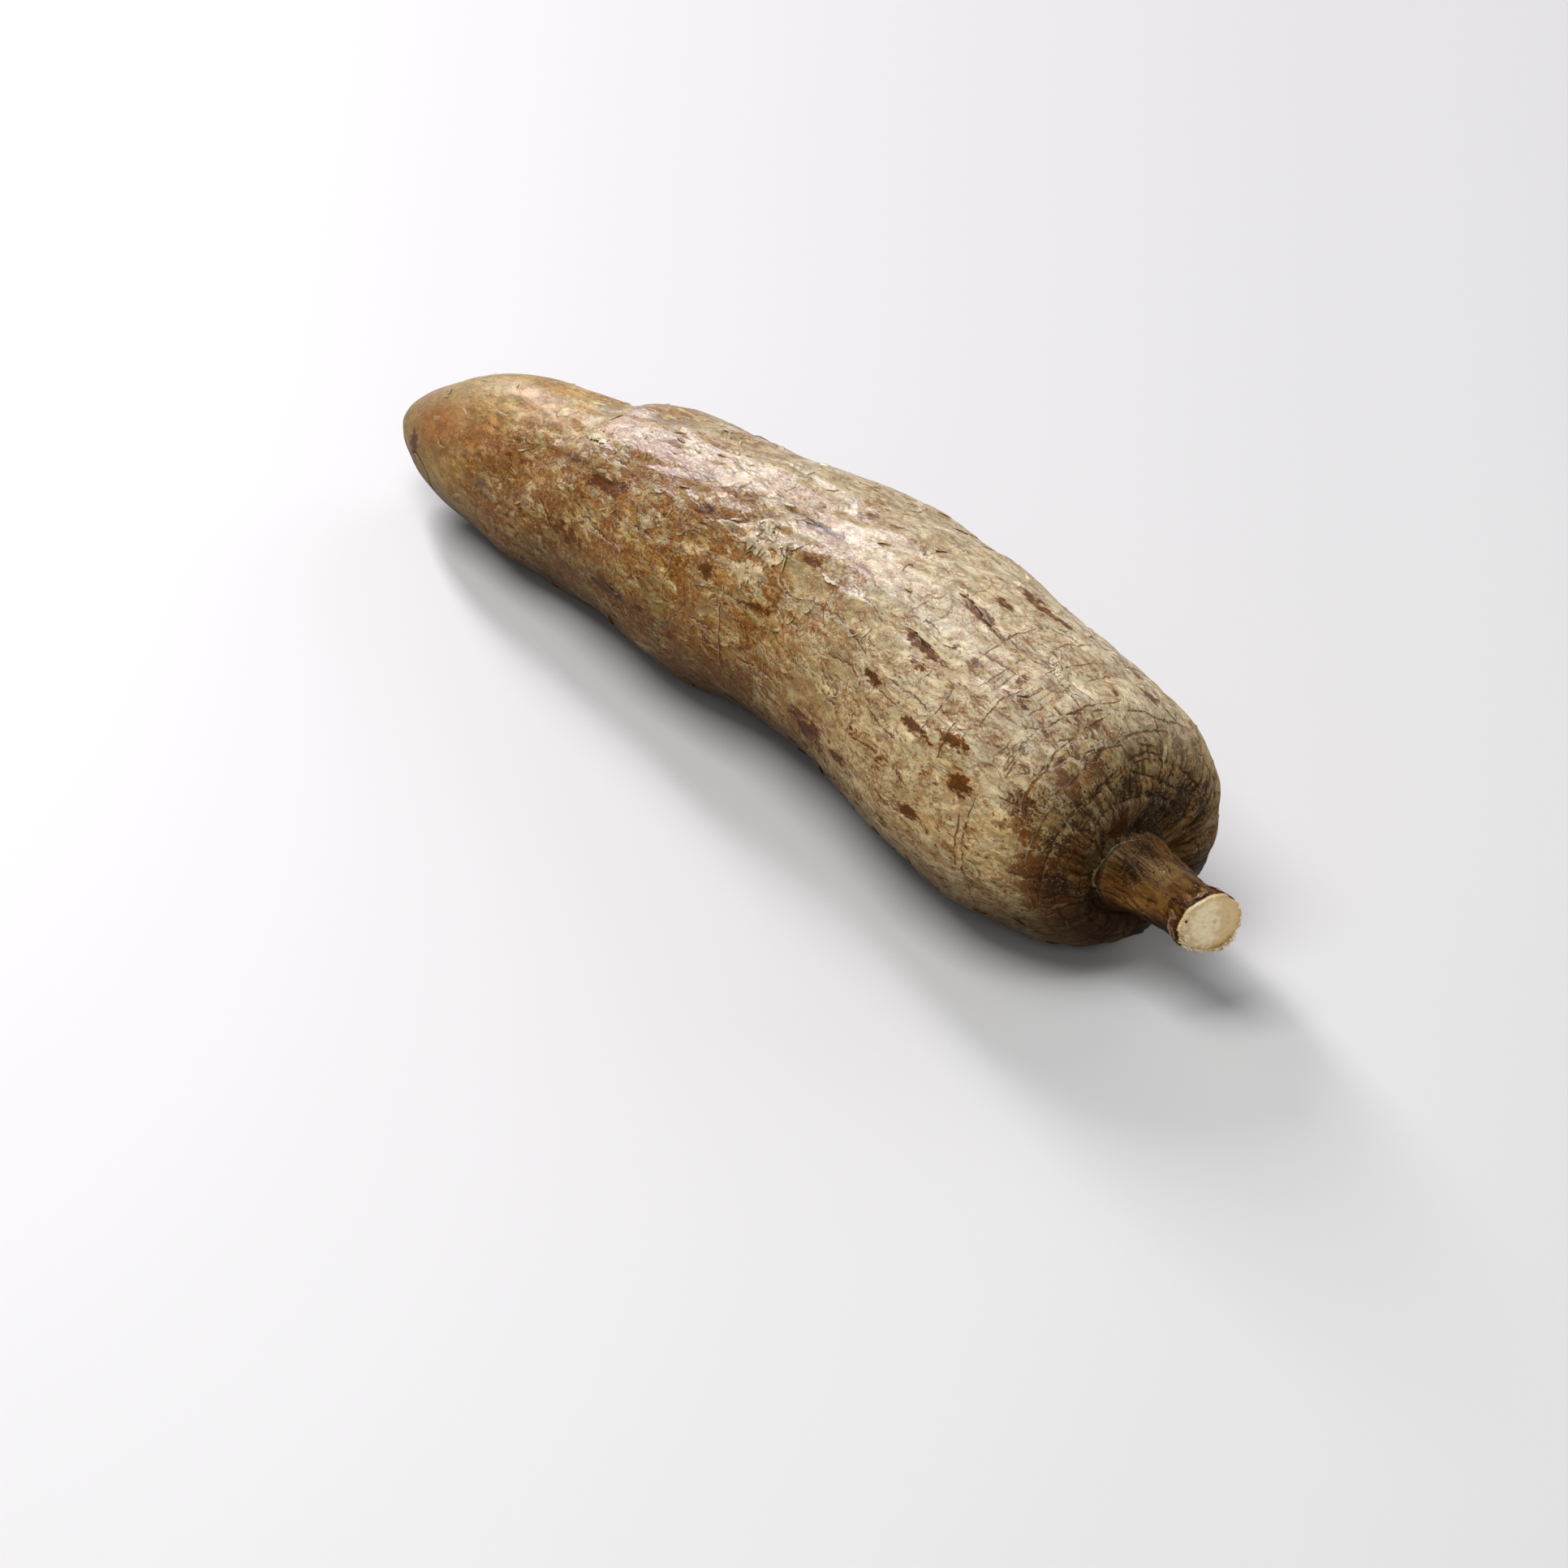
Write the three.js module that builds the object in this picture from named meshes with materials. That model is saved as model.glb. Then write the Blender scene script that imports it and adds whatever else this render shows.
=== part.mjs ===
// A cassava root lying on its side. It grew as one body: a rounded tail, a long barrel that thickens
// towards the head, a shoulder that folds into a dimple, and the short neck cut from its stem.
// Millimetres, +Z up. "Along" runs from the tail towards the neck, and "turn" is the angle round the
// root, from its +Y side over its top.
import * as THREE from 'three';

const { smoothstep } = THREE.MathUtils;

// Driving dimensions
const SEGMENTS = 84;
const TAIL_TIP = -169.5;
const HEAD_RADIUS = 32.5;
const SHOULDER_END = 128.8;
const NECK_RADIUS = 6.4;
const NECK_SIDE = -3.4;
const NECK_HEIGHT = 24;
const COLLAR_START = 147;
const COLLAR_FULL = 151;
const CUT_ALONG = 155;
const CUT_NORMAL = new THREE.Vector3(0.98, -0.177, -0.103);
const SLANT_START = 140;
const SURFACE_HEIGHT = 0;

// Sections of the root: along, radius, sideways place of the centre, height of the centre, and the
// rings up to the next section. Where the centre is lower than the radius, the root is pressed flat.
const SECTIONS = [
  [TAIL_TIP, 0, -10.9, 17.4, 1],
  [-168.5, 3.3, -10.7, 17.4, 1],
  [-164.5, 7.6, -9.6, 17.6, 1],
  [-158, 11.5, -8.3, 18.2, 2],
  [-140, 18.2, -5.9, 20.2, 2],
  [-125, 21.3, -4.8, 21.6, 2],
  [-110, 22.8, -3.9, 22.5, 2],
  [-95, 23.9, -2.5, 23.5, 3],
  [-78, 25.8, -0.8, 26.2, 2],
  [-60, 27.4, -0.3, 27.9, 3],
  [-35, 29.1, -0.4, 29.6, 3],
  [-10, 30.4, 2.2, 30.6, 3],
  [15, 31.4, 4, 31.2, 3],
  [40, 32.1, 1.8, 32.4, 3],
  [65, HEAD_RADIUS, -2.3, 32.2, 3],
  [85, 32.3, -4.1, 31.9, 2],
  [100, 31.4, -4.2, 31.3, 2],
  [110, 30.1, -3.8, 30.6, 2],
  [118, 27.8, -3, 29.8, 2],
  [124, 23.8, -2.6, 28.7, 2],
  [127.6, 18.6, -2.7, 27.4, 1],
  [SHOULDER_END, 15, -2.9, 26.2, 2],
  [127.2, 11.4, -3.2, 24.9, 1],
  [126.5, 10.3, -3.3, 24.3, 1],
  [127.6, 9.5, NECK_SIDE, NECK_HEIGHT, 1],
  [129.4, 8.7, NECK_SIDE, NECK_HEIGHT, 1],
  [133, 7.8, NECK_SIDE, NECK_HEIGHT, 2],
  [140, 6.9, NECK_SIDE, NECK_HEIGHT, 2],
  [COLLAR_START, NECK_RADIUS, NECK_SIDE, NECK_HEIGHT, 1],
  [149.5, 6.8, NECK_SIDE, NECK_HEIGHT, 1],
  [151.5, 7.3, NECK_SIDE, NECK_HEIGHT, 1],
  [153.8, 7.2, NECK_SIDE, NECK_HEIGHT, 1],
  [CUT_ALONG, 6.2, NECK_SIDE, NECK_HEIGHT],
];

// Slow swellings of the barrel: height, length along the root and lobes round it. They fade in
// between two radii of the section, so that the tip, the dimple and the neck stay clear of them.
const SWELLING_FADE = [9, 22];
const SWELLINGS = [
  { height: 0.35, length: 150, lobes: 2 },
  { height: 0.3, length: 95, lobes: 3 },
  { height: 0.3, length: 62, lobes: 1 },
  { height: 0.25, length: 41, lobes: 4 },
  { height: 0.2, length: 29, lobes: 5 },
];

// Ring furrows that the skin folded into as the root thickened. Each one runs part of the way
// round, with its middle at a turn in degrees.
const FURROWS = [
  { along: -88, depth: 1.1, width: 6, slant: 5, middle: 80, reach: 150 },
  { along: -18, depth: 0.5, width: 4, slant: -3, middle: 170, reach: 70 },
  { along: 42, depth: 0.5, width: 4, slant: 3, middle: 60, reach: 80 },
  { along: 92, depth: 0.7, width: 3.5, slant: -4, middle: 190, reach: 60 },
  { along: 108, depth: 0.8, width: 3, slant: 3, middle: 90, reach: 110 },
];

// Folds that run down the end face into the dimple. They deepen outside the foot of the neck and
// run out towards the shoulder, between these radii.
const END_FACE_START = 117;
const FOLDS_DEEPEN = [9, 11];
const FOLDS_RUN_OUT = [13, 24];
const DIMPLE_FOLDS = 11;
const DIMPLE_FOLD_DEPTH = 1;
const DIMPLE_FOLD_WIDTH = 0.13;

// Ridges that run along the neck from its foot, past the radii where the foot flares out, and
// lumps of the bark collar round the cut
const NECK_FOOT = [128, 133];
const FOOT_FLARE = [8, 9];
const NECK_RIDGES = 7;
const NECK_RIDGE_HEIGHT = 0.35;
const NECK_RIDGE_TWIST = 0.035;
const COLLAR_LUMPS = [2, 3, 5];
const COLLAR_LUMP_HEIGHT = 0.18;

const GOLDEN_TURN = Math.PI * (3 - Math.sqrt(5));
const FULL_TURN = 2 * Math.PI;

// Distance along the outline at each section, which the smooth curve through them is measured by
const OUTLINE_DISTANCES = SECTIONS.reduce((distances, section, index) => {
  if (index === 0) return [0];
  const before = SECTIONS[index - 1];
  const step = Math.hypot(section[0] - before[0], section[1] - before[1]);
  return [...distances, distances[index - 1] + step];
}, []);

// Slope of one column of the sections at a section, from the parabola through it and its neighbours
function slopeAt(index, column) {
  const last = SECTIONS.length - 1;
  const slope = (from) => (
    (SECTIONS[from + 1][column] - SECTIONS[from][column])
    / (OUTLINE_DISTANCES[from + 1] - OUTLINE_DISTANCES[from])
  );
  if (index === 0) return slope(0);
  if (index === last) return slope(last - 1);
  const before = OUTLINE_DISTANCES[index] - OUTLINE_DISTANCES[index - 1];
  const after = OUTLINE_DISTANCES[index + 1] - OUTLINE_DISTANCES[index];
  return (slope(index - 1) * after + slope(index) * before) / (before + after);
}

// One column of the sections between two of them, on a smooth curve
function columnBetween(index, share, column) {
  const span = OUTLINE_DISTANCES[index + 1] - OUTLINE_DISTANCES[index];
  const start = SECTIONS[index][column];
  const end = SECTIONS[index + 1][column];
  const leaving = slopeAt(index, column) * span;
  const arriving = slopeAt(index + 1, column) * span;
  const squared = share * share;
  const cubed = squared * share;
  return start * (2 * cubed - 3 * squared + 1) + leaving * (cubed - 2 * squared + share)
    + end * (3 * squared - 2 * cubed) + arriving * (cubed - squared);
}

function outlinePoint(index, share) {
  const [along, radius, side, height] = [0, 1, 2, 3].map((column) => columnBetween(index, share, column));
  return { along, radius, side, height };
}

// Rings of the root from tail to cut, each with the outward direction of its outline
function outlineRings() {
  const rings = [];
  for (let index = 0; index < SECTIONS.length - 1; index += 1) {
    const steps = SECTIONS[index][4];
    for (let step = index === 0 ? 1 : 0; step < steps; step += 1) {
      rings.push(outlinePoint(index, step / steps));
    }
  }
  rings.push(outlinePoint(SECTIONS.length - 2, 1));
  const start = outlinePoint(0, 0);
  return rings.map((ring, index) => {
    const before = rings[index - 1] ?? start;
    const after = rings[index + 1] ?? ring;
    const run = new THREE.Vector2(after.along - before.along, after.radius - before.radius).normalize();
    return { ...ring, outAlong: -run.y, outRadius: run.x };
  });
}

function wrapTurn(turn) {
  return turn - FULL_TURN * Math.round(turn / FULL_TURN);
}

function swellingHeight(ring, turn) {
  const sum = SWELLINGS.reduce((total, { height, length, lobes }, index) => (
    total + height * Math.sin(FULL_TURN * ring.along / length + lobes * turn + (index + 1) * GOLDEN_TURN)
  ), 0);
  return sum * smoothstep(ring.radius, ...SWELLING_FADE);
}

function furrowHeight(ring, turn) {
  return FURROWS.reduce((total, { along, depth, width, slant, middle, reach }) => {
    const fromMiddle = wrapTurn(turn - THREE.MathUtils.degToRad(middle));
    const share = Math.min(1, Math.abs(fromMiddle) / THREE.MathUtils.degToRad(reach));
    const distance = (ring.along - along - slant * Math.sin(fromMiddle)) / width;
    return total - depth * Math.exp(-distance * distance) * Math.cos(share * Math.PI / 2) ** 2;
  }, 0);
}

// Narrow folds on the end face at uneven angles, deepest at the foot of the neck
function dimpleFoldHeight(ring, turn) {
  if (ring.along < END_FACE_START) return 0;
  const outsideFoot = smoothstep(ring.radius, ...FOLDS_DEEPEN);
  const insideShoulder = 1 - smoothstep(ring.radius, ...FOLDS_RUN_OUT);
  let height = 0;
  for (let fold = 0; fold < DIMPLE_FOLDS; fold += 1) {
    const place = (fold + 0.35 * Math.sin(fold * GOLDEN_TURN)) * FULL_TURN / DIMPLE_FOLDS;
    const depth = DIMPLE_FOLD_DEPTH * (0.7 + 0.3 * Math.cos(2 * fold * GOLDEN_TURN));
    const distance = wrapTurn(turn - place) / DIMPLE_FOLD_WIDTH;
    height -= depth * Math.exp(-distance * distance);
  }
  return height * outsideFoot * insideShoulder;
}

function neckHeight(ring, turn) {
  const pastFoot = smoothstep(ring.along, ...NECK_FOOT) * (1 - smoothstep(ring.radius, ...FOOT_FLARE));
  const onCollar = smoothstep(ring.along, COLLAR_START, COLLAR_FULL);
  const twisted = turn + NECK_RIDGE_TWIST * (ring.along - SHOULDER_END);
  const ridges = NECK_RIDGE_HEIGHT * Math.sin(NECK_RIDGES * twisted + Math.sin(2 * turn));
  const lumps = COLLAR_LUMPS.reduce((total, lobes, index) => (
    total + COLLAR_LUMP_HEIGHT * Math.sin(lobes * turn + (index + 1) * GOLDEN_TURN)
  ), 0);
  return pastFoot * ridges * (1 - onCollar) + onCollar * lumps;
}

function surfacePoint(ring, turn) {
  const bodyHeight = swellingHeight(ring, turn) + furrowHeight(ring, turn);
  const height = bodyHeight + dimpleFoldHeight(ring, turn) + neckHeight(ring, turn);
  const radius = ring.radius + height * ring.outRadius;
  const point = new THREE.Vector3(
    ring.along + height * ring.outAlong,
    ring.side + radius * Math.cos(turn),
    ring.height + radius * Math.sin(turn),
  );
  const slanted = smoothstep(ring.along, SLANT_START, CUT_ALONG);
  const offAxis = (point.y - ring.side) * CUT_NORMAL.y + (point.z - ring.height) * CUT_NORMAL.z;
  point.x -= slanted * offAxis / CUT_NORMAL.x;
  point.z = Math.max(point.z, SURFACE_HEIGHT);
  return point;
}

function rootGeometry() {
  const rings = outlineRings();
  const positions = [];
  const triangles = [];
  const tail = outlinePoint(0, 0);
  const cut = rings[rings.length - 1];
  positions.push(tail.along, tail.side, tail.height);
  rings.forEach((ring) => {
    for (let segment = 0; segment < SEGMENTS; segment += 1) {
      positions.push(...surfacePoint(ring, FULL_TURN * segment / SEGMENTS).toArray());
    }
  });
  positions.push(cut.along, cut.side, cut.height);
  const vertex = (ring, segment) => 1 + ring * SEGMENTS + (segment % SEGMENTS);
  const cutCentre = positions.length / 3 - 1;
  for (let segment = 0; segment < SEGMENTS; segment += 1) {
    triangles.push(0, vertex(0, segment + 1), vertex(0, segment));
    triangles.push(cutCentre, vertex(rings.length - 1, segment), vertex(rings.length - 1, segment + 1));
    for (let ring = 0; ring < rings.length - 1; ring += 1) {
      const corners = [
        vertex(ring, segment),
        vertex(ring, segment + 1),
        vertex(ring + 1, segment + 1),
        vertex(ring + 1, segment),
      ];
      triangles.push(corners[0], corners[1], corners[2], corners[0], corners[2], corners[3]);
    }
  }
  const geometry = new THREE.BufferGeometry();
  geometry.setAttribute('position', new THREE.Float32BufferAttribute(positions, 3));
  geometry.setIndex(triangles);
  geometry.computeVertexNormals();
  return geometry;
}

// The origin goes to the middle of the root's box, on the surface that it lies on
function centreOnSurface(geometry) {
  geometry.computeBoundingBox();
  const { min, max } = geometry.boundingBox;
  geometry.translate(-(min.x + max.x) / 2, -(min.y + max.y) / 2, -min.z);
}

function cassavaSkin() {
  return new THREE.MeshStandardMaterial({ color: '#b08a58', roughness: 0.5, metalness: 0 });
}

const geometry = rootGeometry();
centreOnSurface(geometry);
const root = new THREE.Mesh(geometry, cassavaSkin());
root.name = 'cassava_root';
const part = new THREE.Group();
part.add(root);

export default part;
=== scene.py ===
# %% [markdown]
# A waxed cassava root, lying on its side.
# The root is one body, so the packed model gives one solid. It fixes the size and the place, and it
# is too coarse to look at. This lesson grows a fine skin from the same few sections, creases it,
# paints it by formula, and adds what stands off the skin: loose flakes, torn bark and frayed fibres.

# %% Load the fixed frame
import itertools
import math

import bpy
import numpy as np
from mathutils import Euler, Matrix, Vector


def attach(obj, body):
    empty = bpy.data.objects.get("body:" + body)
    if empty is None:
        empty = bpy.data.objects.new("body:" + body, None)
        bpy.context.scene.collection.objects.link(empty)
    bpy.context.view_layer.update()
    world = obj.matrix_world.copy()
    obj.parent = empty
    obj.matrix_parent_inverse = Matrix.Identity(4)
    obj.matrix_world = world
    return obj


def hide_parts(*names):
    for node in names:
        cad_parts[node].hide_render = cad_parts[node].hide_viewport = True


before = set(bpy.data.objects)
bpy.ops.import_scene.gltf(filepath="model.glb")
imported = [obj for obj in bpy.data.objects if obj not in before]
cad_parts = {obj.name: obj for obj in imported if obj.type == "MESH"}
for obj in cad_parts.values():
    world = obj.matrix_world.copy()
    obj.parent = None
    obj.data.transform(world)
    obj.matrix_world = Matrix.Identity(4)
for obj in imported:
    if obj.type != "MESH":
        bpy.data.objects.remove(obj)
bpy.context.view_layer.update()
scene = bpy.context.scene
MM = 0.001

# %% [markdown]
# The camera comes first, because everything is judged through it. A long lens from well back keeps
# the root's two ends in proportion. It looks down past the cut end, a little rolled.
# An empty at the aim point could steer it with a constraint, but angles and a distance say the same
# in numbers that can be read and changed.

# %% Place the camera
VIEW_AZIMUTH = 57.83
VIEW_ELEVATION = 29.15
VIEW_ROLL = -1.52
VIEW_DISTANCE = 1.3407
VIEW_AIM = Vector((0.0267, -0.0229, 0.0027))
LENS = 135.4
SENSOR = 36.0

turned = Euler((math.radians(90 - VIEW_ELEVATION), 0, math.radians(VIEW_AZIMUTH))).to_matrix()
turned = turned @ Matrix.Rotation(math.radians(VIEW_ROLL), 3, "Z")
camera_data = bpy.data.cameras.new("studio_camera")
camera_data.lens = LENS
camera_data.sensor_width = SENSOR
camera = bpy.data.objects.new("studio_camera", camera_data)
camera.matrix_world = Matrix.Translation(VIEW_AIM + turned @ Vector((0, 0, VIEW_DISTANCE))) @ turned.to_4x4()
scene.collection.objects.link(camera)
scene.camera = camera
print("camera at", tuple(round(value, 3) for value in camera.matrix_world.translation))

# %% [markdown]
# The studio is a pale floor, a pale surrounding and four soft panels of light. The main one is tall
# and narrow, and stands beyond the tail. It draws the long gleam down the waxed back of the root, and
# leaves the near flank darker. The weaker ones keep the top, the far side and the cut end readable.
# A photographed surrounding would light it too, but panels can be placed to put the gleam where the
# real one lies.

# %% Light the studio
scene.view_settings.view_transform = "Standard"


def soft_panel(name, place, aim, size, watts, colour):
    """A rectangular light panel at a place, turned to face a point."""
    data = bpy.data.lights.new(name, "AREA")
    data.shape = "RECTANGLE"
    data.size, data.size_y = size
    data.energy = watts
    data.color = colour
    panel = bpy.data.objects.new(name, data)
    panel.location = place
    panel.rotation_euler = (Vector(aim) - Vector(place)).to_track_quat("-Z", "Y").to_euler()
    scene.collection.objects.link(panel)


WHITE_LIGHT, LILAC_LIGHT, WARM_LIGHT = (1.0, 1.0, 1.0), (1.0, 0.955, 1.0), (1.0, 0.97, 0.93)
soft_panel("back_panel", (-1.74, 0.44, 1.02), (-0.02, 0, 0.03), (0.24, 0.85), 31, LILAC_LIGHT)
soft_panel("top_panel", (0.05, -0.4, 1.2), (0.02, 0, 0.03), (0.9, 0.8), 13, WHITE_LIGHT)
soft_panel("rear_panel", (-0.3, 1.9, 1.0), (0, 0, 0.03), (2.4, 1.2), 12, WHITE_LIGHT)
soft_panel("front_panel", (1.25, -0.75, 0.85), (0.05, 0, 0.03), (0.7, 0.5), 4.0, WARM_LIGHT)

ROOM_COLOUR = (0.95, 0.96, 1.0, 1)
ROOM_STRENGTH = 0.17
world = bpy.data.worlds.new("pale_room")
world.use_nodes = True
world.node_tree.nodes["Background"].inputs["Color"].default_value = ROOM_COLOUR
world.node_tree.nodes["Background"].inputs["Strength"].default_value = ROOM_STRENGTH
scene.world = world

# %% [markdown]
# The root lies on a surface, so it needs a floor to rest on and to catch its shadow. One pale square
# is enough. It is wide enough that the camera never sees its edge behind the root.

# %% Lay the floor
FLOOR_HALF = 3.0
FLOOR_GREY = (0.6, 0.6, 0.6, 1)
FLOOR_ROUGHNESS = 0.6


def plain_floor():
    """A wide pale floor under the root. It is part of the studio, and not of the object."""
    mesh = bpy.data.meshes.new("floor")
    corners = [(-FLOOR_HALF, -FLOOR_HALF, 0), (FLOOR_HALF, -FLOOR_HALF, 0),
               (FLOOR_HALF, FLOOR_HALF, 0), (-FLOOR_HALF, FLOOR_HALF, 0)]
    mesh.from_pydata(corners, [], [(0, 1, 2, 3)])
    floor = bpy.data.objects.new("floor", mesh)
    coating = bpy.data.materials.new("floor_paint")
    coating.use_nodes = True
    shader = coating.node_tree.nodes["Principled BSDF"]
    shader.inputs["Base Color"].default_value = FLOOR_GREY
    shader.inputs["Roughness"].default_value = FLOOR_ROUGHNESS
    mesh.materials.append(coating)
    scene.collection.objects.link(floor)


plain_floor()

# %% [markdown]
# The form is a bent lathe shape. Each section gives how far along the root it is, its radius, and
# where its centre lies to the side and in height. One smooth curve runs through them all, from the
# tail's tip over the barrel and shoulder, down into the dimple, and out along the neck to the cut.
# Modelling by hand with loop cuts would do too, but sections can be measured and repeated exactly.

# %% Sections of the root
TAIL_TIP = -169.5
HEAD_RADIUS = 32.5
SHOULDER_END = 128.8
NECK_RADIUS = 6.4
NECK_SIDE = -3.4
NECK_HEIGHT = 24.0
COLLAR_START, COLLAR_FULL = 147.0, 151.0
CUT_ALONG = 155.0
CUT_NORMAL = np.array((0.98, -0.177, -0.103))
SLANT_START = 140.0

SECTIONS = np.array([
    (TAIL_TIP, 0, -10.9, 17.4),
    (-168.5, 3.3, -10.7, 17.4),
    (-164.5, 7.6, -9.6, 17.6),
    (-158, 11.5, -8.3, 18.2),
    (-140, 18.2, -5.9, 20.2),
    (-125, 21.3, -4.8, 21.6),
    (-110, 22.8, -3.9, 22.5),
    (-95, 23.9, -2.5, 23.5),
    (-78, 25.8, -0.8, 26.2),
    (-60, 27.4, -0.3, 27.9),
    (-35, 29.1, -0.4, 29.6),
    (-10, 30.4, 2.2, 30.6),
    (15, 31.4, 4, 31.2),
    (40, 32.1, 1.8, 32.4),
    (65, HEAD_RADIUS, -2.3, 32.2),
    (85, 32.3, -4.1, 31.9),
    (100, 31.4, -4.2, 31.3),
    (110, 30.1, -3.8, 30.6),
    (118, 27.8, -3, 29.8),
    (124, 23.8, -2.6, 28.7),
    (127.6, 18.6, -2.7, 27.4),
    (SHOULDER_END, 15, -2.9, 26.2),
    (127.2, 11.4, -3.2, 24.9),
    (126.5, 10.3, -3.3, 24.3),
    (127.6, 9.5, NECK_SIDE, NECK_HEIGHT),
    (129.4, 8.7, NECK_SIDE, NECK_HEIGHT),
    (133, 7.8, NECK_SIDE, NECK_HEIGHT),
    (140, 6.9, NECK_SIDE, NECK_HEIGHT),
    (COLLAR_START, NECK_RADIUS, NECK_SIDE, NECK_HEIGHT),
    (149.5, 6.8, NECK_SIDE, NECK_HEIGHT),
    (151.5, 7.3, NECK_SIDE, NECK_HEIGHT),
    (153.8, 7.2, NECK_SIDE, NECK_HEIGHT),
    (CUT_ALONG, 6.2, NECK_SIDE, NECK_HEIGHT),
])
STEPS = np.hypot(np.diff(SECTIONS[:, 0]), np.diff(SECTIONS[:, 1]))
REACHES = np.concatenate(([0], np.cumsum(STEPS)))
FULL_REACH = REACHES[-1]
SHOULDER_REACH = REACHES[list(SECTIONS[:, 0]).index(SHOULDER_END)]
print("skin runs", round(FULL_REACH, 1), "mm from the tail's tip to the cut")

# %% Run one smooth curve through the sections
CHORDS = np.diff(SECTIONS, axis=0) / STEPS[:, None]
BETWEEN = (CHORDS[:-1] * STEPS[1:, None] + CHORDS[1:] * STEPS[:-1, None]) / (STEPS[:-1] + STEPS[1:])[:, None]
SLOPES = np.vstack((CHORDS[:1], BETWEEN, CHORDS[-1:]))


def outline_at(reach):
    """Along, radius, side and height of the section that is `reach` mm of skin from the tail's tip."""
    reach = np.asarray(reach, float)
    before = np.clip(np.searchsorted(REACHES, reach, side="right") - 1, 0, len(STEPS) - 1)
    span = STEPS[before][..., None]
    share = ((reach - REACHES[before])[..., None]) / span
    leaving = SLOPES[before] * span * (share ** 3 - 2 * share ** 2 + share)
    arriving = SLOPES[before + 1] * span * (share ** 3 - share ** 2)
    start = SECTIONS[before] * (2 * share ** 3 - 3 * share ** 2 + 1)
    end = SECTIONS[before + 1] * (3 * share ** 2 - 2 * share ** 3)
    return start + end + leaving + arriving


BARREL_REACHES = np.linspace(0, SHOULDER_REACH, 3000)
BARREL_ALONGS = outline_at(BARREL_REACHES)[:, 0]


def reach_of(along):
    """Reach of a place on the barrel that is given by how far along the root it is."""
    return np.interp(along, BARREL_ALONGS, BARREL_REACHES)


print("the shoulder folds over at a reach of", round(SHOULDER_REACH, 1), "mm")

# %% [markdown]
# On the curve go the slow forms that show from a step away: swellings of the barrel, ring furrows
# where the skin folded as the root thickened, folds that run into the dimple, and the ridged neck
# with its bark collar. Each is a short formula of the reach and of the turn round the root.

# %% Large forms of the root
FULL_TURN = 2 * math.pi
GOLDEN_TURN = math.pi * (3 - math.sqrt(5))
SWELLINGS = [(0.35, 150, 2), (0.3, 95, 3), (0.3, 62, 1), (0.25, 41, 4), (0.2, 29, 5)]
FURROWS = [
    (-88, 1.1, 6, 5, 80, 150),
    (-18, 0.5, 4, -3, 170, 70),
    (42, 0.5, 4, 3, 60, 80),
    (92, 0.7, 3.5, -4, 190, 60),
    (108, 0.8, 3, 3, 90, 110),
]
END_FACE_START = 117
DIMPLE_FOLDS = 11


def ease(value, low, high):
    """0 below low, 1 above high, and a smooth rise between them."""
    share = np.clip((value - low) / (high - low), 0, 1)
    return share * share * (3 - 2 * share)


def wrap_turn(turn):
    return turn - FULL_TURN * np.round(turn / FULL_TURN)


def swelling_height(along, radius, turn):
    waves = sum(height * np.sin(FULL_TURN * along / length + lobes * turn + (index + 1) * GOLDEN_TURN)
                for index, (height, length, lobes) in enumerate(SWELLINGS))
    return waves * ease(radius, 9, 22)


def furrow_height(along, turn):
    total = 0
    for place, depth, width, slant, middle, spread in FURROWS:
        from_middle = wrap_turn(turn - math.radians(middle))
        share = np.minimum(1, abs(from_middle) / math.radians(spread))
        distance = (along - place - slant * np.sin(from_middle)) / width
        total = total - depth * np.exp(-distance ** 2) * np.cos(share * math.pi / 2) ** 2
    return total


def dimple_fold_height(along, radius, turn):
    total = 0
    for fold in range(DIMPLE_FOLDS):
        place = (fold + 0.35 * math.sin(fold * GOLDEN_TURN)) * FULL_TURN / DIMPLE_FOLDS
        depth = 0.7 + 0.3 * math.cos(2 * fold * GOLDEN_TURN)
        total = total - depth * np.exp(-(wrap_turn(turn - place) / 0.13) ** 2)
    on_face = ease(radius, 9, 11) * (1 - ease(radius, 13, 24)) * (along >= END_FACE_START)
    return total * on_face


def neck_height(along, radius, turn):
    past_foot = ease(along, 128, 133) * (1 - ease(radius, 8, 9))
    on_collar = ease(along, COLLAR_START, COLLAR_FULL)
    twisted = turn + 0.035 * (along - SHOULDER_END)
    ridges = 0.35 * np.sin(7 * twisted + np.sin(2 * turn))
    lumps = sum(0.18 * np.sin(lobes * turn + (index + 1) * GOLDEN_TURN)
                for index, lobes in enumerate((2, 3, 5)))
    return past_foot * ridges * (1 - on_collar) + on_collar * lumps


# %% [markdown]
# The skin is a grid of rows along the reach and columns round the root. The rows stand closer where
# the form turns quickly, on the tip, in the dimple and on the collar. A grid keeps every point's
# reach and turn known, so that creases and colours can be laid by place instead of by painting.

# %% Spread the rows and columns
ROW_SPACING = [(18, 0.6), (290, 0.95), (322, 0.52), (339, 0.6), (FULL_REACH, 0.36)]
COLUMNS = 226


def spread_rows():
    rows, start = [], 0.0
    for end, spacing in ROW_SPACING:
        count = max(1, round((end - start) / spacing))
        rows.append(np.linspace(start, end, count, endpoint=False))
        start = end
    rows = np.append(np.concatenate(rows), FULL_REACH)
    return rows[1:]


rows = spread_rows()
columns = np.linspace(-math.pi, math.pi, COLUMNS, endpoint=False)
along, radius, side, height = (part[:, None] for part in outline_at(rows).T)
turn = columns[None, :]
shape = (len(rows), COLUMNS)
reach = np.broadcast_to(rows[:, None], shape)
print("skin grid:", shape, "and", 2 * shape[0] * shape[1], "triangles")


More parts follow.
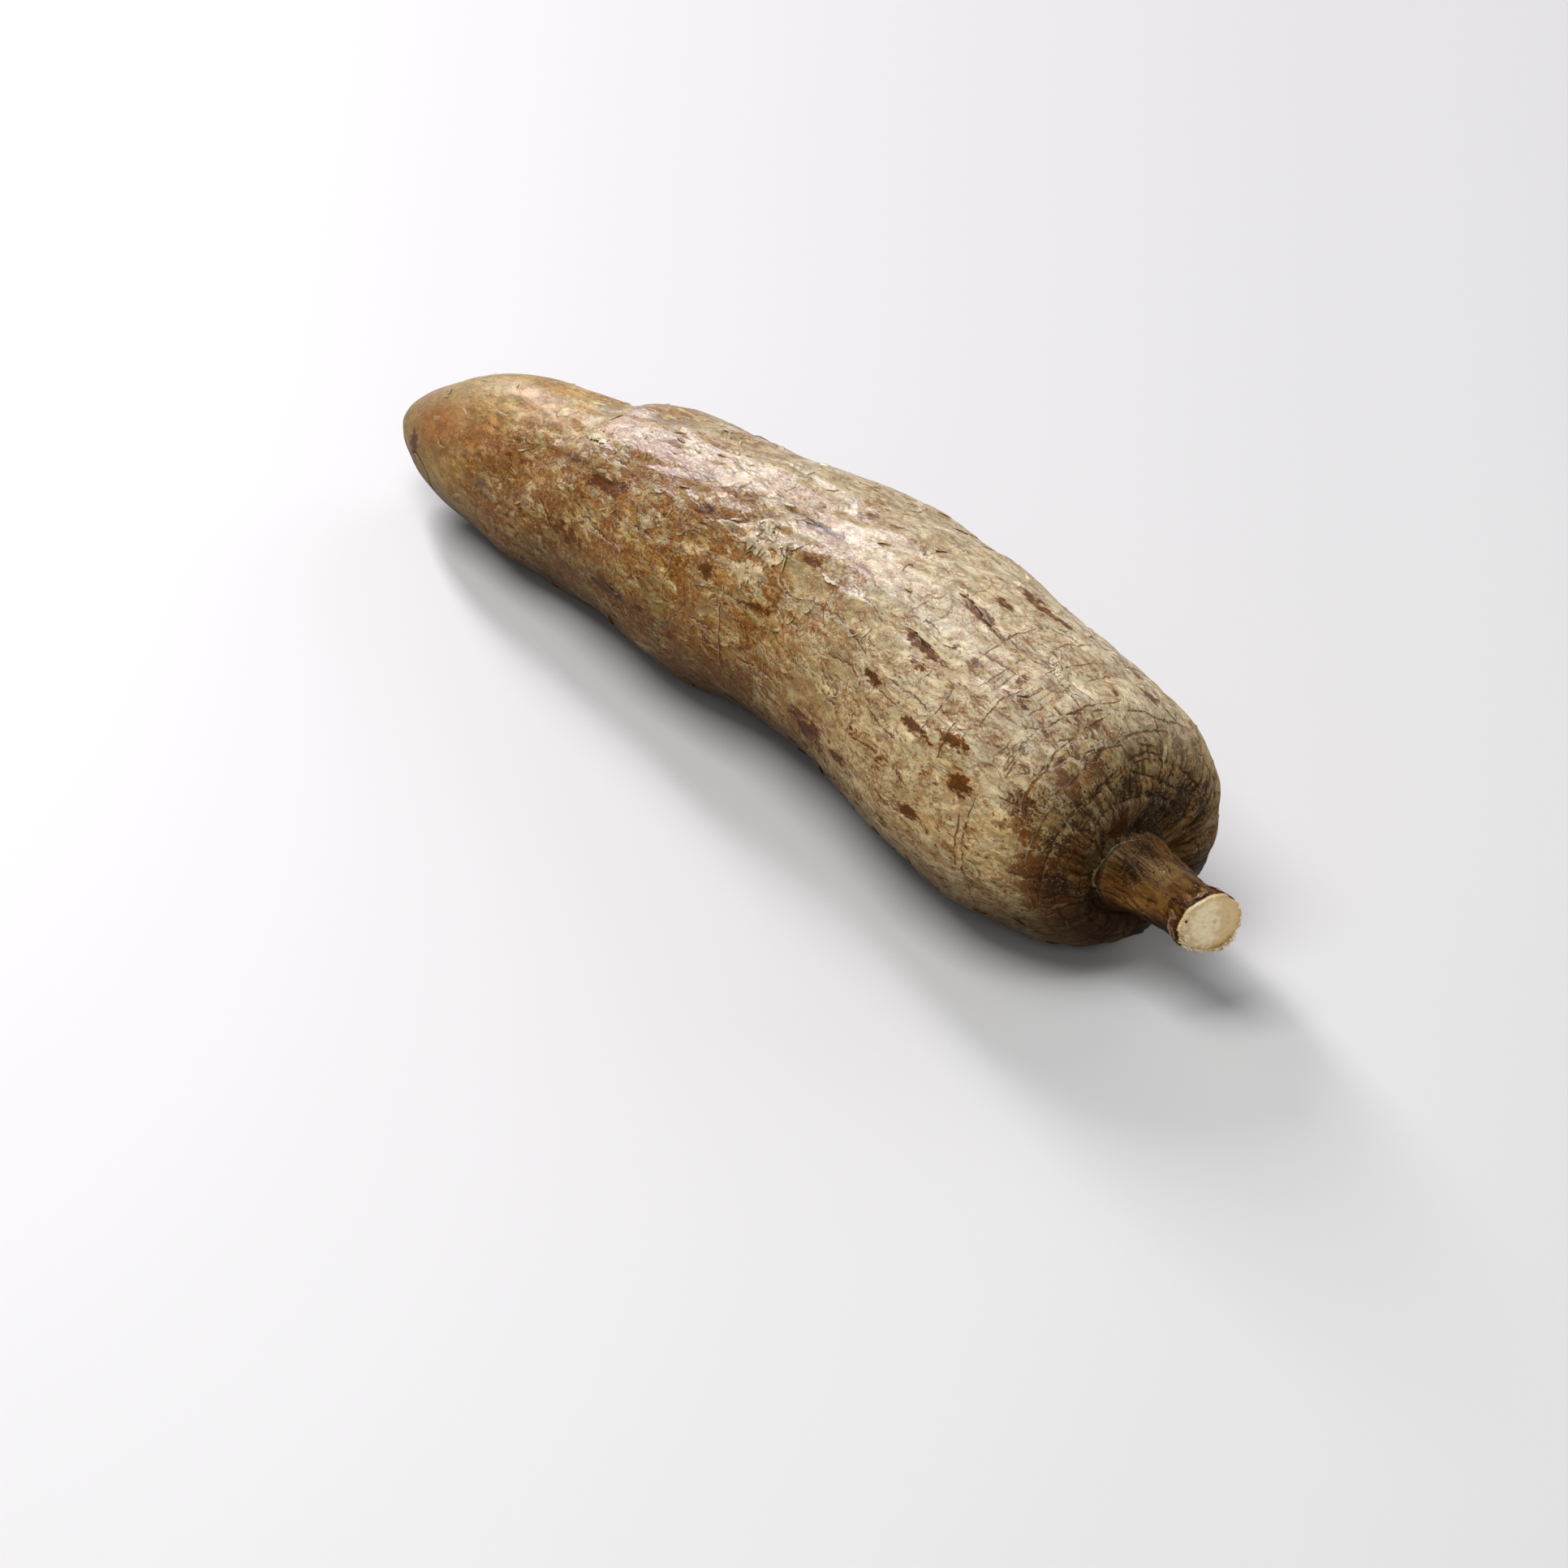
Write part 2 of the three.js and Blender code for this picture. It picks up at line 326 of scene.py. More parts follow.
# %% Raise a relief from the curve
STEP = 0.05
run = outline_at(np.minimum(rows + STEP, FULL_REACH)) - outline_at(np.maximum(rows - STEP, 0))
run = run[:, :2] / np.linalg.norm(run[:, :2], axis=1)[:, None]
out_along, out_radius = -run[:, 1:2], run[:, 0:1]


def raise_skin(relief):
    """Points of the skin in mm, with the relief laid along the outward direction of the outline."""
    reach_out = radius + relief * out_radius
    x = along + relief * out_along + 0 * turn
    y = side + reach_out * np.cos(turn)
    z = height + reach_out * np.sin(turn)
    slanted = ease(along, SLANT_START, CUT_ALONG)
    x = x - slanted * ((y - side) * CUT_NORMAL[1] + (z - height) * CUT_NORMAL[2]) / CUT_NORMAL[0]
    return np.stack((x, y, np.maximum(z, 0)), axis=-1)


form = (swelling_height(along, radius, turn) + furrow_height(along, turn)
        + dimple_fold_height(along, radius, turn) + neck_height(along, radius, turn))
smooth_skin = raise_skin(form)
low, high = smooth_skin.reshape(-1, 3).min(0), smooth_skin.reshape(-1, 3).max(0)
centre = np.array(((min(low[0], TAIL_TIP) + high[0]) / 2, (low[1] + high[1]) / 2, 0))
smooth_skin = smooth_skin - centre
print("smooth form in mm:", np.round(high - low, 1), "moved by", np.round(-centre, 2))

# %% [markdown]
# Natural skin needs unevenness at several sizes. This noise gives gentle random heights that depend
# only on the place and a seed, so each run is the same. Longer along the root than round it, it
# makes the lengthwise wrinkles of a drying root.

# %% Noise that depends on place
def place_noise(points, size, seed):
    """Random heights from -1 to 1 that rise and fall over `size` mm. Size may differ by axis."""
    scaled = points / np.asarray(size, float) + seed * 17.13
    cell = np.floor(scaled)
    share = scaled - cell
    share = share * share * (3 - 2 * share)
    total = np.zeros(points.shape[:-1])
    for corner in itertools.product((0, 1), repeat=3):
        key = (cell + corner) @ np.array((127.1, 311.7, 74.7))
        value = np.modf(np.sin(key) * 43758.5453)[0]
        weight = np.prod(np.where(corner, share, 1 - share), axis=-1)
        total += value * weight
    return total


def creased_noise(points, size, seed):
    """Noise folded into narrow valleys, from -1 at the bottom of a valley to 0."""
    return -np.exp(-(place_noise(points, size, seed) / 0.16) ** 2)


print("noise runs from", round(place_noise(smooth_skin, 5, 1).min(), 2))

# %% [markdown]
# Zones say how each stretch of the root looks: a smooth orange tail, a brown mottled middle, a pale
# head, a stained dimple and a dark underside, partly brown and partly painted shade. Other zones
# mark painted shade on the flanks, the tip and the hollow round the neck's foot, and a painted sheen
# on the far top. Soft spots of a given length and width are summed into a few zones. They are
# stored on the skin, and the paint reads them later.

# %% Soft spots and zones
def spot(place, degrees, half_length, half_width):
    """A soft oval spot, 1 at its middle. Place is mm of reach, and widths are in mm and degrees."""
    across = wrap_turn(turn - math.radians(degrees)) / math.radians(half_width)
    return np.exp(-(across ** 2 + ((reach - place) / half_length) ** 2) ** 1.5)


def spots(places, find=reach_of):
    """The strongest of several spots, each given with its strength."""
    return np.max([strength * spot(find(place), *size) for place, *size, strength in places], axis=0)


on_end = ease(reach, SHOULDER_REACH - 24, SHOULDER_REACH - 4)
on_neck = ease(reach, SHOULDER_REACH + 6.5, SHOULDER_REACH + 8.5)
on_bark = ease(reach, FULL_REACH - 9, FULL_REACH - 5)
downward = ease(-np.sin(turn + 0 * reach), -0.05, 0.7)
from_crown = abs(wrap_turn(turn - math.pi / 2)) + 0 * reach
on_face = ease(reach, SHOULDER_REACH - 17, SHOULDER_REACH - 5) * (1 - on_neck)
near_flank = np.exp(-(wrap_turn(turn - math.radians(190)) / 0.6) ** 2) + 0 * reach

BROWN_SPOTS = [
    (15, 110.5, 11, 1.8, 1.0), (21, 126, 5, 2.5, 1.0), (-21, 127, 4, 3.5, 0.9), (17, 93, 4, 6, 0.6),
    (27.5, 91, 3, 2.5, 0.7), (40, 92, 6, 2, 0.6), (75, 96, 9, 3, 0.95), (73.5, 84, 6, 2.5, 0.8),
    (74, 69, 9, 3.5, 0.9), (85, 68, 4, 2.5, 0.8), (72, 121.5, 10, 2.4, 1.0), (76, 128, 5, 2, 0.8),
    (85, 148, 6, 2.3, 1.0), (98, 142.5, 5, 3, 0.9), (104, 156, 4, 4.5, 0.9), (64, 144, 4, 2.5, 0.8),
    (90, 180, 3, 2.5, 0.8), (56.5, 186.5, 4, 3, 0.9), (38, 188, 8, 7, 0.7), (-9, 150.5, 5, 3, 0.8),
    (13, 154, 5, 1.5, 0.8), (100, 107, 2, 5, 0.7), (103, 115, 5, 2, 0.7), (80, 113, 3, 2, 0.7),
    (87.5, 112.5, 3.5, 1.8, 0.8), (114, 62, 4, 4, 0.8), (112.5, 79, 2.5, 2.5, 0.6),
    (120.5, 123, 1, 2.5, 0.9),
    (-60, 139, 10, 5, 0.9), (-54, 136.5, 4, 3, 1.0), (-78, 133, 8, 3, 0.8), (-98, 146, 12, 7, 0.3),
    (-32, 184, 3, 1.5, 0.9), (-150, 172, 4, 12, 0.9), (-70, 172, 10, 7, 0.6), (-48, 186, 9, 5, 0.6),
    (52, 20, 8, 4, 0.8), (10, 5, 7, 4, 0.7), (-40, 30, 9, 4, 0.8), (88, -10, 6, 5, 0.8),
    (-90, 10, 8, 6, 0.7), (30, -25, 10, 4, 0.8), (-10, -60, 12, 6, 0.7), (70, -70, 9, 6, 0.8),
    (100, 30, 5, 4, 0.8), (-120, -20, 8, 7, 0.6), (-55, -15, 7, 4, 0.8), (115, -40, 5, 5, 0.7),
]
PEELED_SPOTS = [
    (21, 133, 13, 6, 1.0), (52, 151.5, 9, 4.5, 1.0), (-3, 166, 9, 5, 0.8), (42, 172, 15, 5, 0.7),
    (-76, 117.5, 6, 3.5, 0.9), (-73, 152, 5, 3, 0.7), (36, 20, 12, 6, 0.8), (-25, -5, 9, 5, 0.8),
    (75, -20, 11, 6, 0.8), (0, -80, 12, 7, 0.8), (-62, 48, 9, 5, 0.7), (60, 48, 9, 4, 0.6),
]
GREY_SPOTS = [
    (-106, 170, 9, 9, 1.0), (-92, 164, 8, 6, 0.7), (-70, 86, 12, 7, 0.9), (-88, 80, 6, 20, 0.8),
    (-52, 100, 14, 6, 0.4), (-30, 112, 10, 6, 0.6), (-118, 80, 8, 6, 0.6), (-118, 20, 12, 10, 0.7),
    (-95, -30, 10, 9, 0.7), (-128, 200, 12, 12, 0.6),
]
ORANGE_SPOTS = [
    (-138, 146, 17, 22, 1.0), (-118, 142, 14, 14, 0.8), (-156, 120, 8, 30, 0.6), (-100, 145, 14, 10, 0.7),
    (-140, 30, 16, 30, 0.8), (-135, -40, 18, 30, 0.7),
]

DARK_SPOTS = [
    (296.7, 149, 4.0, 7, 0.7), (301, 140, 4, 8, 0.5), (314.8, 66, 4.5, 18, 0.9), (307.4, 138, 4, 9, 0.8),
    (309.4, 97.6, 2.5, 12, 1.0), (312, 45, 5, 14, 0.9), (309, 25, 4, 12, 0.8), (305, 160, 5, 9, 0.6),
    (306, 185, 5, 14, 0.8), (315, 200, 5, 25, 0.8), (311, -30, 6, 30, 0.7), (304, -80, 6, 20, 0.7),
    (318.5, 70, 1.6, 40, 1.0), (326, 140, 4, 30, 0.8), (325, 95, 4, 24, 0.8), (333, 60, 6, 20, 0.5),
    (290, 128, 2, 4, 0.5),
]
RED_SPOTS = [
    (317, 107, 2.5, 16, 1.0), (307, 205, 7, 14, 0.9), (301, 128, 4, 10, 0.8), (299, 160, 4, 9, 0.8),
    (303, 112, 2.5, 12, 0.7), (296, 100, 2, 6, 0.6), (310, 235, 8, 20, 0.8), (303, 60, 4, 10, 0.5),
    (334, 95, 6, 40, 0.8), (338, 150, 6, 25, 0.6), (330, 200, 8, 40, 0.7), (335, -60, 8, 60, 0.7),
    (304, 185, 9, 24, 0.9), (311, 165, 5, 22, 0.8), (296, 150, 5, 10, 0.6),
]

# Painted sheen: the far top of the barrel is made paler, as cream, and less mottled.
far_top_sheen = spot(reach_of(5), 72, 75, 38)
zones = {
    # The brown zone also runs along the lower near flank: partly real brown, partly painted shade.
    "brown": 1.2 * spots(BROWN_SPOTS) + 0.25 * near_flank * (1 - on_end),
    "peeled": spots(PEELED_SPOTS),
    "grey": spots(GREY_SPOTS),
    "orange": spots(ORANGE_SPOTS),
    "cream": np.maximum(ease(along + 8 * np.cos(turn), -40, 90), 0.75 * far_top_sheen) * (1 - 0.7 * on_end),
    "mottled": (1 - 0.75 * ease(along, -20, 70)) * ease(along, -150, -110) * (1 - 0.75 * far_top_sheen),
    "peppered": np.clip(on_end + 0.35 * on_neck, 0, 1) + 0 * turn,
    # Painted shade, partly over real brown: the underside and a strip of the lower near flank.
    "shaded": np.maximum(downward, 0.6 * spot(reach_of(-45), 196, 80, 20)),
    # Painted shade: the tail's tip, to be dimmed.
    "tip": 1 - ease(along, -158, -105) + 0 * turn,
    # Painted shade: the flanks below the crown, to be darkened with a golden tint.
    "flank": ease(from_crown, 0.5, 1.5),
    "rubbed": np.maximum.reduce([ease(from_crown, 0.5, 1.0), 0.85 * on_end * (1 - on_neck),
                                 0.52 * ease(along, 15, 60) + 0 * turn,
                                 0.72 * (1 - ease(along, -95, -68)) + 0 * turn]),
    # Painted shade: the hollow where the shoulder meets the neck's foot.
    "hollow": ease(reach, SHOULDER_REACH - 3, SHOULDER_REACH + 5) * (1 - on_neck),
    "dimple": on_face,
    "dark": spots(DARK_SPOTS, float),
    "red": spots(RED_SPOTS, float),
    "smooth": np.clip(1 - ease(along, -142, -95) + 0.9 * spots(PEELED_SPOTS)
                      + 0.7 * (1 - ease(along, -95, -30)) * (1 - ease(from_crown, 0.3, 0.75)), 0, 1),
    "neck": on_neck + 0 * turn,
    "bark": on_bark + 0 * turn,
}
print("zones:", {name: round(float(np.mean(values)), 2) for name, values in zones.items()})

# %% [markdown]
# Cracks and flake edges are drawn as lines on the skin. For every grid point near a line we keep
# how far it is from the line and on which side. The distance carves a groove in the mesh, and the
# signed distance lets the paint draw a line that stays sharp between the grid's points, with a
# dark foot on one side and a pale rim on the other, like the edge of a lifted flake. The rim is
# partly painted highlight.

# %% Lay lines on the skin
FAR = 3.0
PRESENCE_START, PRESENCE_END = 1.0, 2.2
SKIN_RADII = outline_at(rows)[:, 1]


def new_lines():
    return {"near": np.full(shape, FAR), "side": np.full(shape, FAR), "presence": np.zeros(shape)}


crack_lines, ring_lines = new_lines(), new_lines()
relief = np.zeros(shape)


def measure_line(u, v, points):
    """Distance to a line of points, the side it is on, and how far along the line the nearest place is."""
    start, span = points[:-1], np.diff(points, axis=0)
    offset = np.stack((u, v), axis=-1)[..., None, :] - start
    share = np.clip((offset * span).sum(-1) / np.maximum((span ** 2).sum(-1), 1e-9), 0, 1)
    gap = offset - share[..., None] * span
    distance = np.hypot(gap[..., 0], gap[..., 1])
    nearest = distance.argmin(-1)[..., None]
    cross = span[:, 0] * offset[..., 1] - span[:, 1] * offset[..., 0]
    progress = (nearest + np.take_along_axis(share, nearest, -1)) / len(span)
    pick = (np.take_along_axis(part, nearest, -1)[..., 0] for part in (distance, np.sign(cross)))
    return (*pick, progress[..., 0])


def lay_line(lines, reaches, turns, depth, width=0.7, lip=0.0, strength=1.0):
    """Carves a line through the given reaches and turns, with an upstanding lip on its left side."""
    mean_radius = float(np.interp(np.mean(reaches), rows, SKIN_RADII))
    row_from, row_to = np.searchsorted(rows, (min(reaches) - FAR, max(reaches) + FAR))
    spread = FAR / mean_radius
    first = math.floor((min(turns) - spread + math.pi) / FULL_TURN * COLUMNS)
    last = math.ceil((max(turns) + spread + math.pi) / FULL_TURN * COLUMNS)
    wide = np.arange(first, min(last, first + COLUMNS - 1) + 1)
    if row_to <= row_from:
        return
    round_it = (wide / COLUMNS * FULL_TURN - math.pi) * mean_radius
    u, v = np.meshgrid(rows[row_from:row_to], round_it, indexing="ij")
    distance, which, progress = measure_line(u, v, np.column_stack((reaches, np.array(turns) * mean_radius)))
    taper = np.sqrt(np.clip(np.sin(math.pi * progress), 0.02, 1))
    block = np.ix_(np.arange(row_from, row_to), wide % COLUMNS)
    groove = -depth * np.exp(-(distance / width) ** 2)
    raised = lip * np.exp(-((distance - width) / (1.3 * width)) ** 2) * (which > 0)
    relief[block] += (groove + raised) * taper
    closer = distance < lines["near"][block]
    thinned = np.clip(distance / taper, 0, FAR) * which
    seen = strength * (1 - ease(distance, PRESENCE_START, PRESENCE_END)) * ease(taper, 0.1, 0.5)
    lines["near"][block] = np.where(closer, distance, lines["near"][block])
    lines["side"][block] = np.where(closer, thinned, lines["side"][block])
    lines["presence"][block] = np.where(closer, seen, lines["presence"][block])


def curved(points, count=24, wobble=0.0, chance=None, find=reach_of):
    """A listed line, run through a smooth curve and made a little uneven. Turns are in degrees."""
    points = np.array(points, float)
    ends = np.concatenate((2 * points[:1] - points[1:2], points, 2 * points[-1:] - points[-2:-1]))
    made = []
    for a, b, c, d in zip(ends, ends[1:], ends[2:], ends[3:]):
        for t in np.linspace(0, 1, max(2, count // (len(points) - 1)), endpoint=False):
            made.append(0.5 * (2 * b + (c - a) * t + (2 * a - 5 * b + 4 * c - d) * t ** 2
                               + (3 * b - a - 3 * c + d) * t ** 3))
    made = np.array(made + [points[-1]])
    if wobble:
        made += chance.normal(0, wobble, made.shape) * (1, 2)
    return (made[:, 0] if find is float else find(made[:, 0])), np.radians(made[:, 1])


# %% [markdown]
# First come the lines that give this root its face. Long wavy flake edges run down the near flank,
# hairlines ring the barrel where it grew in spurts, and a torn flap lies on the shoulder.

# %% Flake edges and rings, one by one
chance = np.random.default_rng(11)
FLAKE_EDGES = [
    [(27, 162), (35, 162.8), (40, 161.7), (45, 164.5), (51, 165.7), (57, 162.3), (61, 158.7)],
    [(13, 136), (15, 139.5), (19, 141.6), (24, 142), (26.5, 140.3)],
    [(27, 139.5), (37, 138), (44, 136.6), (52, 137.5), (60, 140)],
    [(60, 120), (65, 114.5), (69, 112.8), (74, 113.6)],
    [(63, 120.4), (68, 119.5), (71, 118.3), (75, 118.6), (82, 121)],
    [(65.5, 96.2), (71, 94.5), (75, 95), (81, 96.2), (86, 98.7)],
    [(90, 86.2), (98, 87), (104, 90.3), (107, 95.3), (116, 99.5)],
    [(84, 108.6), (89, 107), (95, 106.2), (97.5, 106)],
    [(98, 113.7), (102, 114.2), (106, 114.5)],
    [(44, 151), (49, 149.5), (55, 147.2), (60, 149.4), (61, 151)],
    [(43, 153.6), (48, 156), (55, 155.3), (60, 153.6)],
    [(63, 170.3), (69, 168.7), (76, 167), (83, 167.8), (90, 170.2)],
    [(65, 155.4), (70, 156), (75, 157.8), (81, 155.3)],
    [(60, 145.3), (65, 146.6), (71, 146.1), (77, 146)],
    [(25, 151.1), (29, 151.2), (31, 153.6)],
    [(68, 140.2), (75, 139.4), (81, 138.6), (89, 140.4)],
    [(-83, 115.3), (-79, 114.5), (-72, 118)],
    [(-20, 132), (-14, 128), (-8, 125.4), (-6, 123.8)],
    [(-33, 119.4), (-25, 125.3), (-19, 127)],
    [(-44, 148.7), (-36, 148.6), (-30, 150.4)],
    [(-69, 126.2), (-61, 125.4), (-55, 126.3)],
    [(-12, 174), (-5, 173), (0, 174.5)], [(5, 182), (12, 180), (20, 178), (30, 180)],
    [(36, 128), (44, 125), (50, 124), (58, 126)], [(30, 117), (40, 116), (47, 119)],
    [(15, 76), (24, 74), (35, 76), (46, 74)], [(50, 66), (60, 63), (68, 66)],
    [(-60, 160), (-50, 162), (-42, 160)], [(70, 180), (80, 183), (92, 181)],
]
RINGS = [
    ([(-22.5, 138), (-22, 150), (-22.4, 164), (-21.6, 178)], 0.25, 0.5),
    ([(-2, 147), (-0.6, 158), (0.3, 170), (0.6, 181), (-0.2, 190), (-0.9, 197)], 0.45, 0.9),
    ([(18, 147), (18.3, 160), (18.8, 176), (18, 191)], 0.25, 0.45),
    ([(43.4, 71), (44, 82), (45, 93), (45.4, 103), (45, 113)], 0.3, 0.6),
    ([(62.5, 103), (62, 110), (61, 119)], 0.25, 0.6),
    ([(62.5, 158), (62, 168), (61, 178)], 0.25, 0.5),
    ([(97.5, 104), (97.2, 112), (97.4, 121)], 0.35, 0.8),
    ([(105.4, 97), (105, 104), (104.8, 112)], 0.35, 0.8),
    ([(109.4, 156), (109, 168), (108.6, 180), (108.2, 192), (108, 204)], 0.5, 1.0),
    ([(112, 116), (111.8, 126), (111.6, 136), (112, 142)], 0.35, 0.8),
    ([(-62, 30), (-61, 52), (-61.5, 74)], 0.3, 0.5),
    ([(-35, -70), (-34, -40), (-36, -10), (-35, 20)], 0.35, 0.6),
    ([(8, -60), (9, -30), (8, 0), (7, 25)], 0.35, 0.7),
    ([(55, -50), (54, -20), (55.5, 10), (55, 35)], 0.35, 0.7),
    ([(84, -95), (85, -60), (84, -30)], 0.4, 0.8),
    ([(-110, -40), (-109, 0), (-110, 40)], 0.25, 0.4),
    ([(-45, 215), (-44, 240), (-46, 262)], 0.35, 0.6),
    ([(33, 215), (32, 235), (34, 258)], 0.35, 0.6),
]

for points in FLAKE_EDGES:
    lay_line(crack_lines, *curved(points, wobble=0.12, chance=chance), depth=0.3, width=0.55, lip=0.28)
for points, depth, strength in RINGS:
    reaches, turns = curved(points, wobble=0.12, chance=chance)
    lay_line(ring_lines, reaches, turns, depth=depth, width=0.6, strength=strength)
print(len(FLAKE_EDGES), "flake edges and", len(RINGS), "rings are laid")

# %% [markdown]
# The rest of the skin carries hundreds of short wavy flake edges. Each is a seeded random walk that
# mostly follows the root's length, turns slowly, and ends after a centimetre or so. They lie closest
# in the mottled middle, and are few on the smooth tail and on the head.

# %% Scatter short wrinkles
def wander(start_reach, start_turn, heading, length, bend):
    """A random walk over the skin. Heading is in radians from the root's length."""
    steps = max(4, int(length / 0.9))
    reaches, turns = [start_reach], [start_turn]
    drift = chance.normal(0, bend)
    for _ in range(steps):
        drift = 0.8 * drift + chance.normal(0, bend)
        heading += drift
        local_radius = max(6.0, float(np.interp(reaches[-1], rows, SKIN_RADII)))
        reaches.append(reaches[-1] + 0.9 * math.cos(heading))
        turns.append(turns[-1] + 0.9 * math.sin(heading) / local_radius)
    return reaches, turns


SHORT_WRINKLES = 760
laid = 0
for _ in range(SHORT_WRINKLES):
    start = chance.uniform(12, SHOULDER_REACH - 20)
    keep = (0.25 + 0.75 * ease(start, 35, 75)) * (1 - 0.8 * ease(start, 235, 262))
    start_turn = chance.uniform(-math.pi, math.pi)
    heading = chance.normal(0, 0.2) + (math.pi if chance.random() < 0.4 else 0)
    length = chance.gamma(2.5, 3.0) + 3
    reaches, turns = wander(start, start_turn, heading, length, 0.09)
    if chance.random() > keep:
        continue
    bold = chance.random() ** 3
    lay_line(crack_lines, reaches, turns, depth=0.1 + 0.22 * bold, width=0.5, lip=0.08 + 0.2 * bold,
             strength=0.15 + 0.7 * bold)
    laid += 1
print(laid, "short wrinkles are laid")

# %% [markdown]
# Near the head the dry skin broke into plates. Wavy cracks ring the shoulder every 5 to 7 mm, mostly
# over the crown, and short cracks join them lengthwise, like the joints of a brick wall. Two kinds of
# lines are kept apart, so that a crossing stays clean in both.

# %% Crack the head into plates
PLATE_RINGS = [80, 87.5, 95, 102, 108.5, 114, 119, 123.5]
PLATE_WIDTH = 6.5


def ring_walk(place, waviness, seed):
    """A closed wavy ring round the root, given as its reach at each turn."""
    phases = np.random.default_rng(seed).uniform(0, FULL_TURN, 4)
    return lambda angle: place + waviness * sum(
        math.sin((3 + 4 * index) * angle + phase) / (1 + index) for index, phase in enumerate(phases))


plate_rings = [ring_walk(place, 0.9, 40 + index) for index, place in enumerate(PLATE_RINGS)]
for index, ring in enumerate(plate_rings):
    angle = chance.uniform(0, 1)
    end = angle + FULL_TURN
    while angle < end:
        stretch = chance.uniform(0.25, 0.8)
        angles = np.arange(angle, angle + stretch, 0.03)
        places = np.array([ring(value) for value in angles]) + chance.normal(0, 0.1, len(angles))
        faint = 0.35 if index == 0 else 1.0
        near_crown = 1 - ease(abs(wrap_turn(angle + stretch / 2 - math.radians(98))), 0.55, 1.0)
        if chance.random() < 0.12 + 0.88 * near_crown:
            lay_line(ring_lines, reach_of(places), angles, depth=0.18 * faint, width=0.5, lip=0.12,
                     strength=faint * chance.uniform(0.8, 1.0))
        angle += stretch + chance.uniform(0.02, 0.2)

for index in range(len(plate_rings) - 1):
    circumference = FULL_TURN * float(np.interp(reach_of(PLATE_RINGS[index]), rows, SKIN_RADII))
    plates = round(circumference / PLATE_WIDTH)
    for plate in range(plates):
        angle = (plate + chance.uniform(0.1, 0.9)) * FULL_TURN / plates
        near_crown = 1 - ease(abs(wrap_turn(angle - math.radians(98))), 0.55, 1.1)
        if chance.random() > (0.4 if index == 0 else 0.25 + 0.6 * near_crown):
            continue
        places = np.linspace(plate_rings[index](angle), plate_rings[index + 1](angle), 9)
        angles = angle + np.cumsum(chance.normal(0, 0.006, 9))
        lay_line(crack_lines, reach_of(places), angles, depth=0.16, width=0.5, lip=0.1,
                 strength=chance.uniform(0.6, 1.0))
print(len(PLATE_RINGS), "plate rings are cracked")

# %% [markdown]
# The end face folds in towards the neck. Its largest creases are listed one by one, in mm of reach
# and degrees of turn, because the eye goes there first. Folds cut into the mesh itself would be
# deeper, but lines laid on it can cross and end anywhere.

# %% Crease the end face
FACE_CREASES = [
    [(300.4, 208), (302.7, 192), (304.1, 173), (304.9, 159), (305.5, 145), (306, 133), (307, 120),
     (307.2, 107), (306, 92)],
    [(310.1, 120), (311.5, 106), (311.9, 93), (312.1, 77), (312.5, 63), (313.6, 50), (315.6, 40),
     (317.7, 34)],
    [(305.4, 92.6), (304.7, 86.8), (304.5, 78.4), (304.9, 73), (305.4, 65.7)],
    [(305.4, 92.6), (307.2, 90.7), (308.6, 80.3), (309.7, 69.9), (310.1, 57.2), (309.4, 38), (308.6, 26)],
    [(306.2, 154.8), (309.4, 157.8), (312.3, 158.2), (318.3, 153.2)],
    [(305.4, 164), (309.4, 165.5), (317.9, 159.8)],
    [(305.1, 174), (308.8, 172.8), (317.6, 169.4)],
    [(303.1, 195.5), (307.6, 191.6), (313.3, 186.6)],
    [(310.1, 44.6), (313.6, 43.4), (315.8, 35)],
    [(309.9, 24.2), (312.5, 20.8), (316, 17)],
    [(291, 141.3), (293.5, 137.1), (295.7, 133.3), (296.7, 128.3), (298, 122.9), (298.2, 117.9),
     (300.6, 114.5), (304.1, 100.6)],
    [(286.5, 114.8), (290.4, 117.1), (293.1, 120.2)],
    [(291.6, 102.6), (293.9, 104.5), (296.7, 106.8)],
    [(298.8, 105.6), (301.2, 106), (302.9, 107.2)],
    [(295.7, 133.3), (297.6, 134), (299.4, 133.3), (300.8, 132.5)],
    [(283.4, 164.8), (283.8, 170), (283.8, 177), (283.6, 185), (282.8, 194)],
    [(286.9, 115.6), (289.2, 109.8), (291, 103.7), (292.8, 97.6), (293.9, 90.7), (295.5, 81.4),
     (296.3, 70.3)],
    [(294.1, 118.3), (295.9, 111.8), (297.8, 103.7), (299.6, 96.8)],
]
for index, points in enumerate(FACE_CREASES):
    deep = 0.6 if index < 4 else 0.4
    lay_line(ring_lines if index in (0, 1, 3) else crack_lines,
             *curved(points, wobble=0.1, chance=chance, find=float), depth=deep, width=0.7, lip=0.25)
NECK_FOOT = [
    (319.4, 240), (318.7, 203), (318.1, 183), (318.3, 167), (319.1, 143), (319.3, 121), (320.1, 106),
    (321.1, 81), (320.9, 51.5), (320.5, 10), (320, -40), (319.6, -80), (319.4, -120),
]
lay_line(ring_lines, *curved(NECK_FOOT, count=120, wobble=0.06, chance=chance, find=float),
         depth=0.9, width=0.6, lip=0.3)
print(len(FACE_CREASES), "creases cross the end face")

# %% [markdown]
# Round the neck the skin is drawn in like a bag closed with a string. Radial puckers run down the
# dimple, and broken rings cross them. They repeat, so a loop lays them, with a little chance in each.

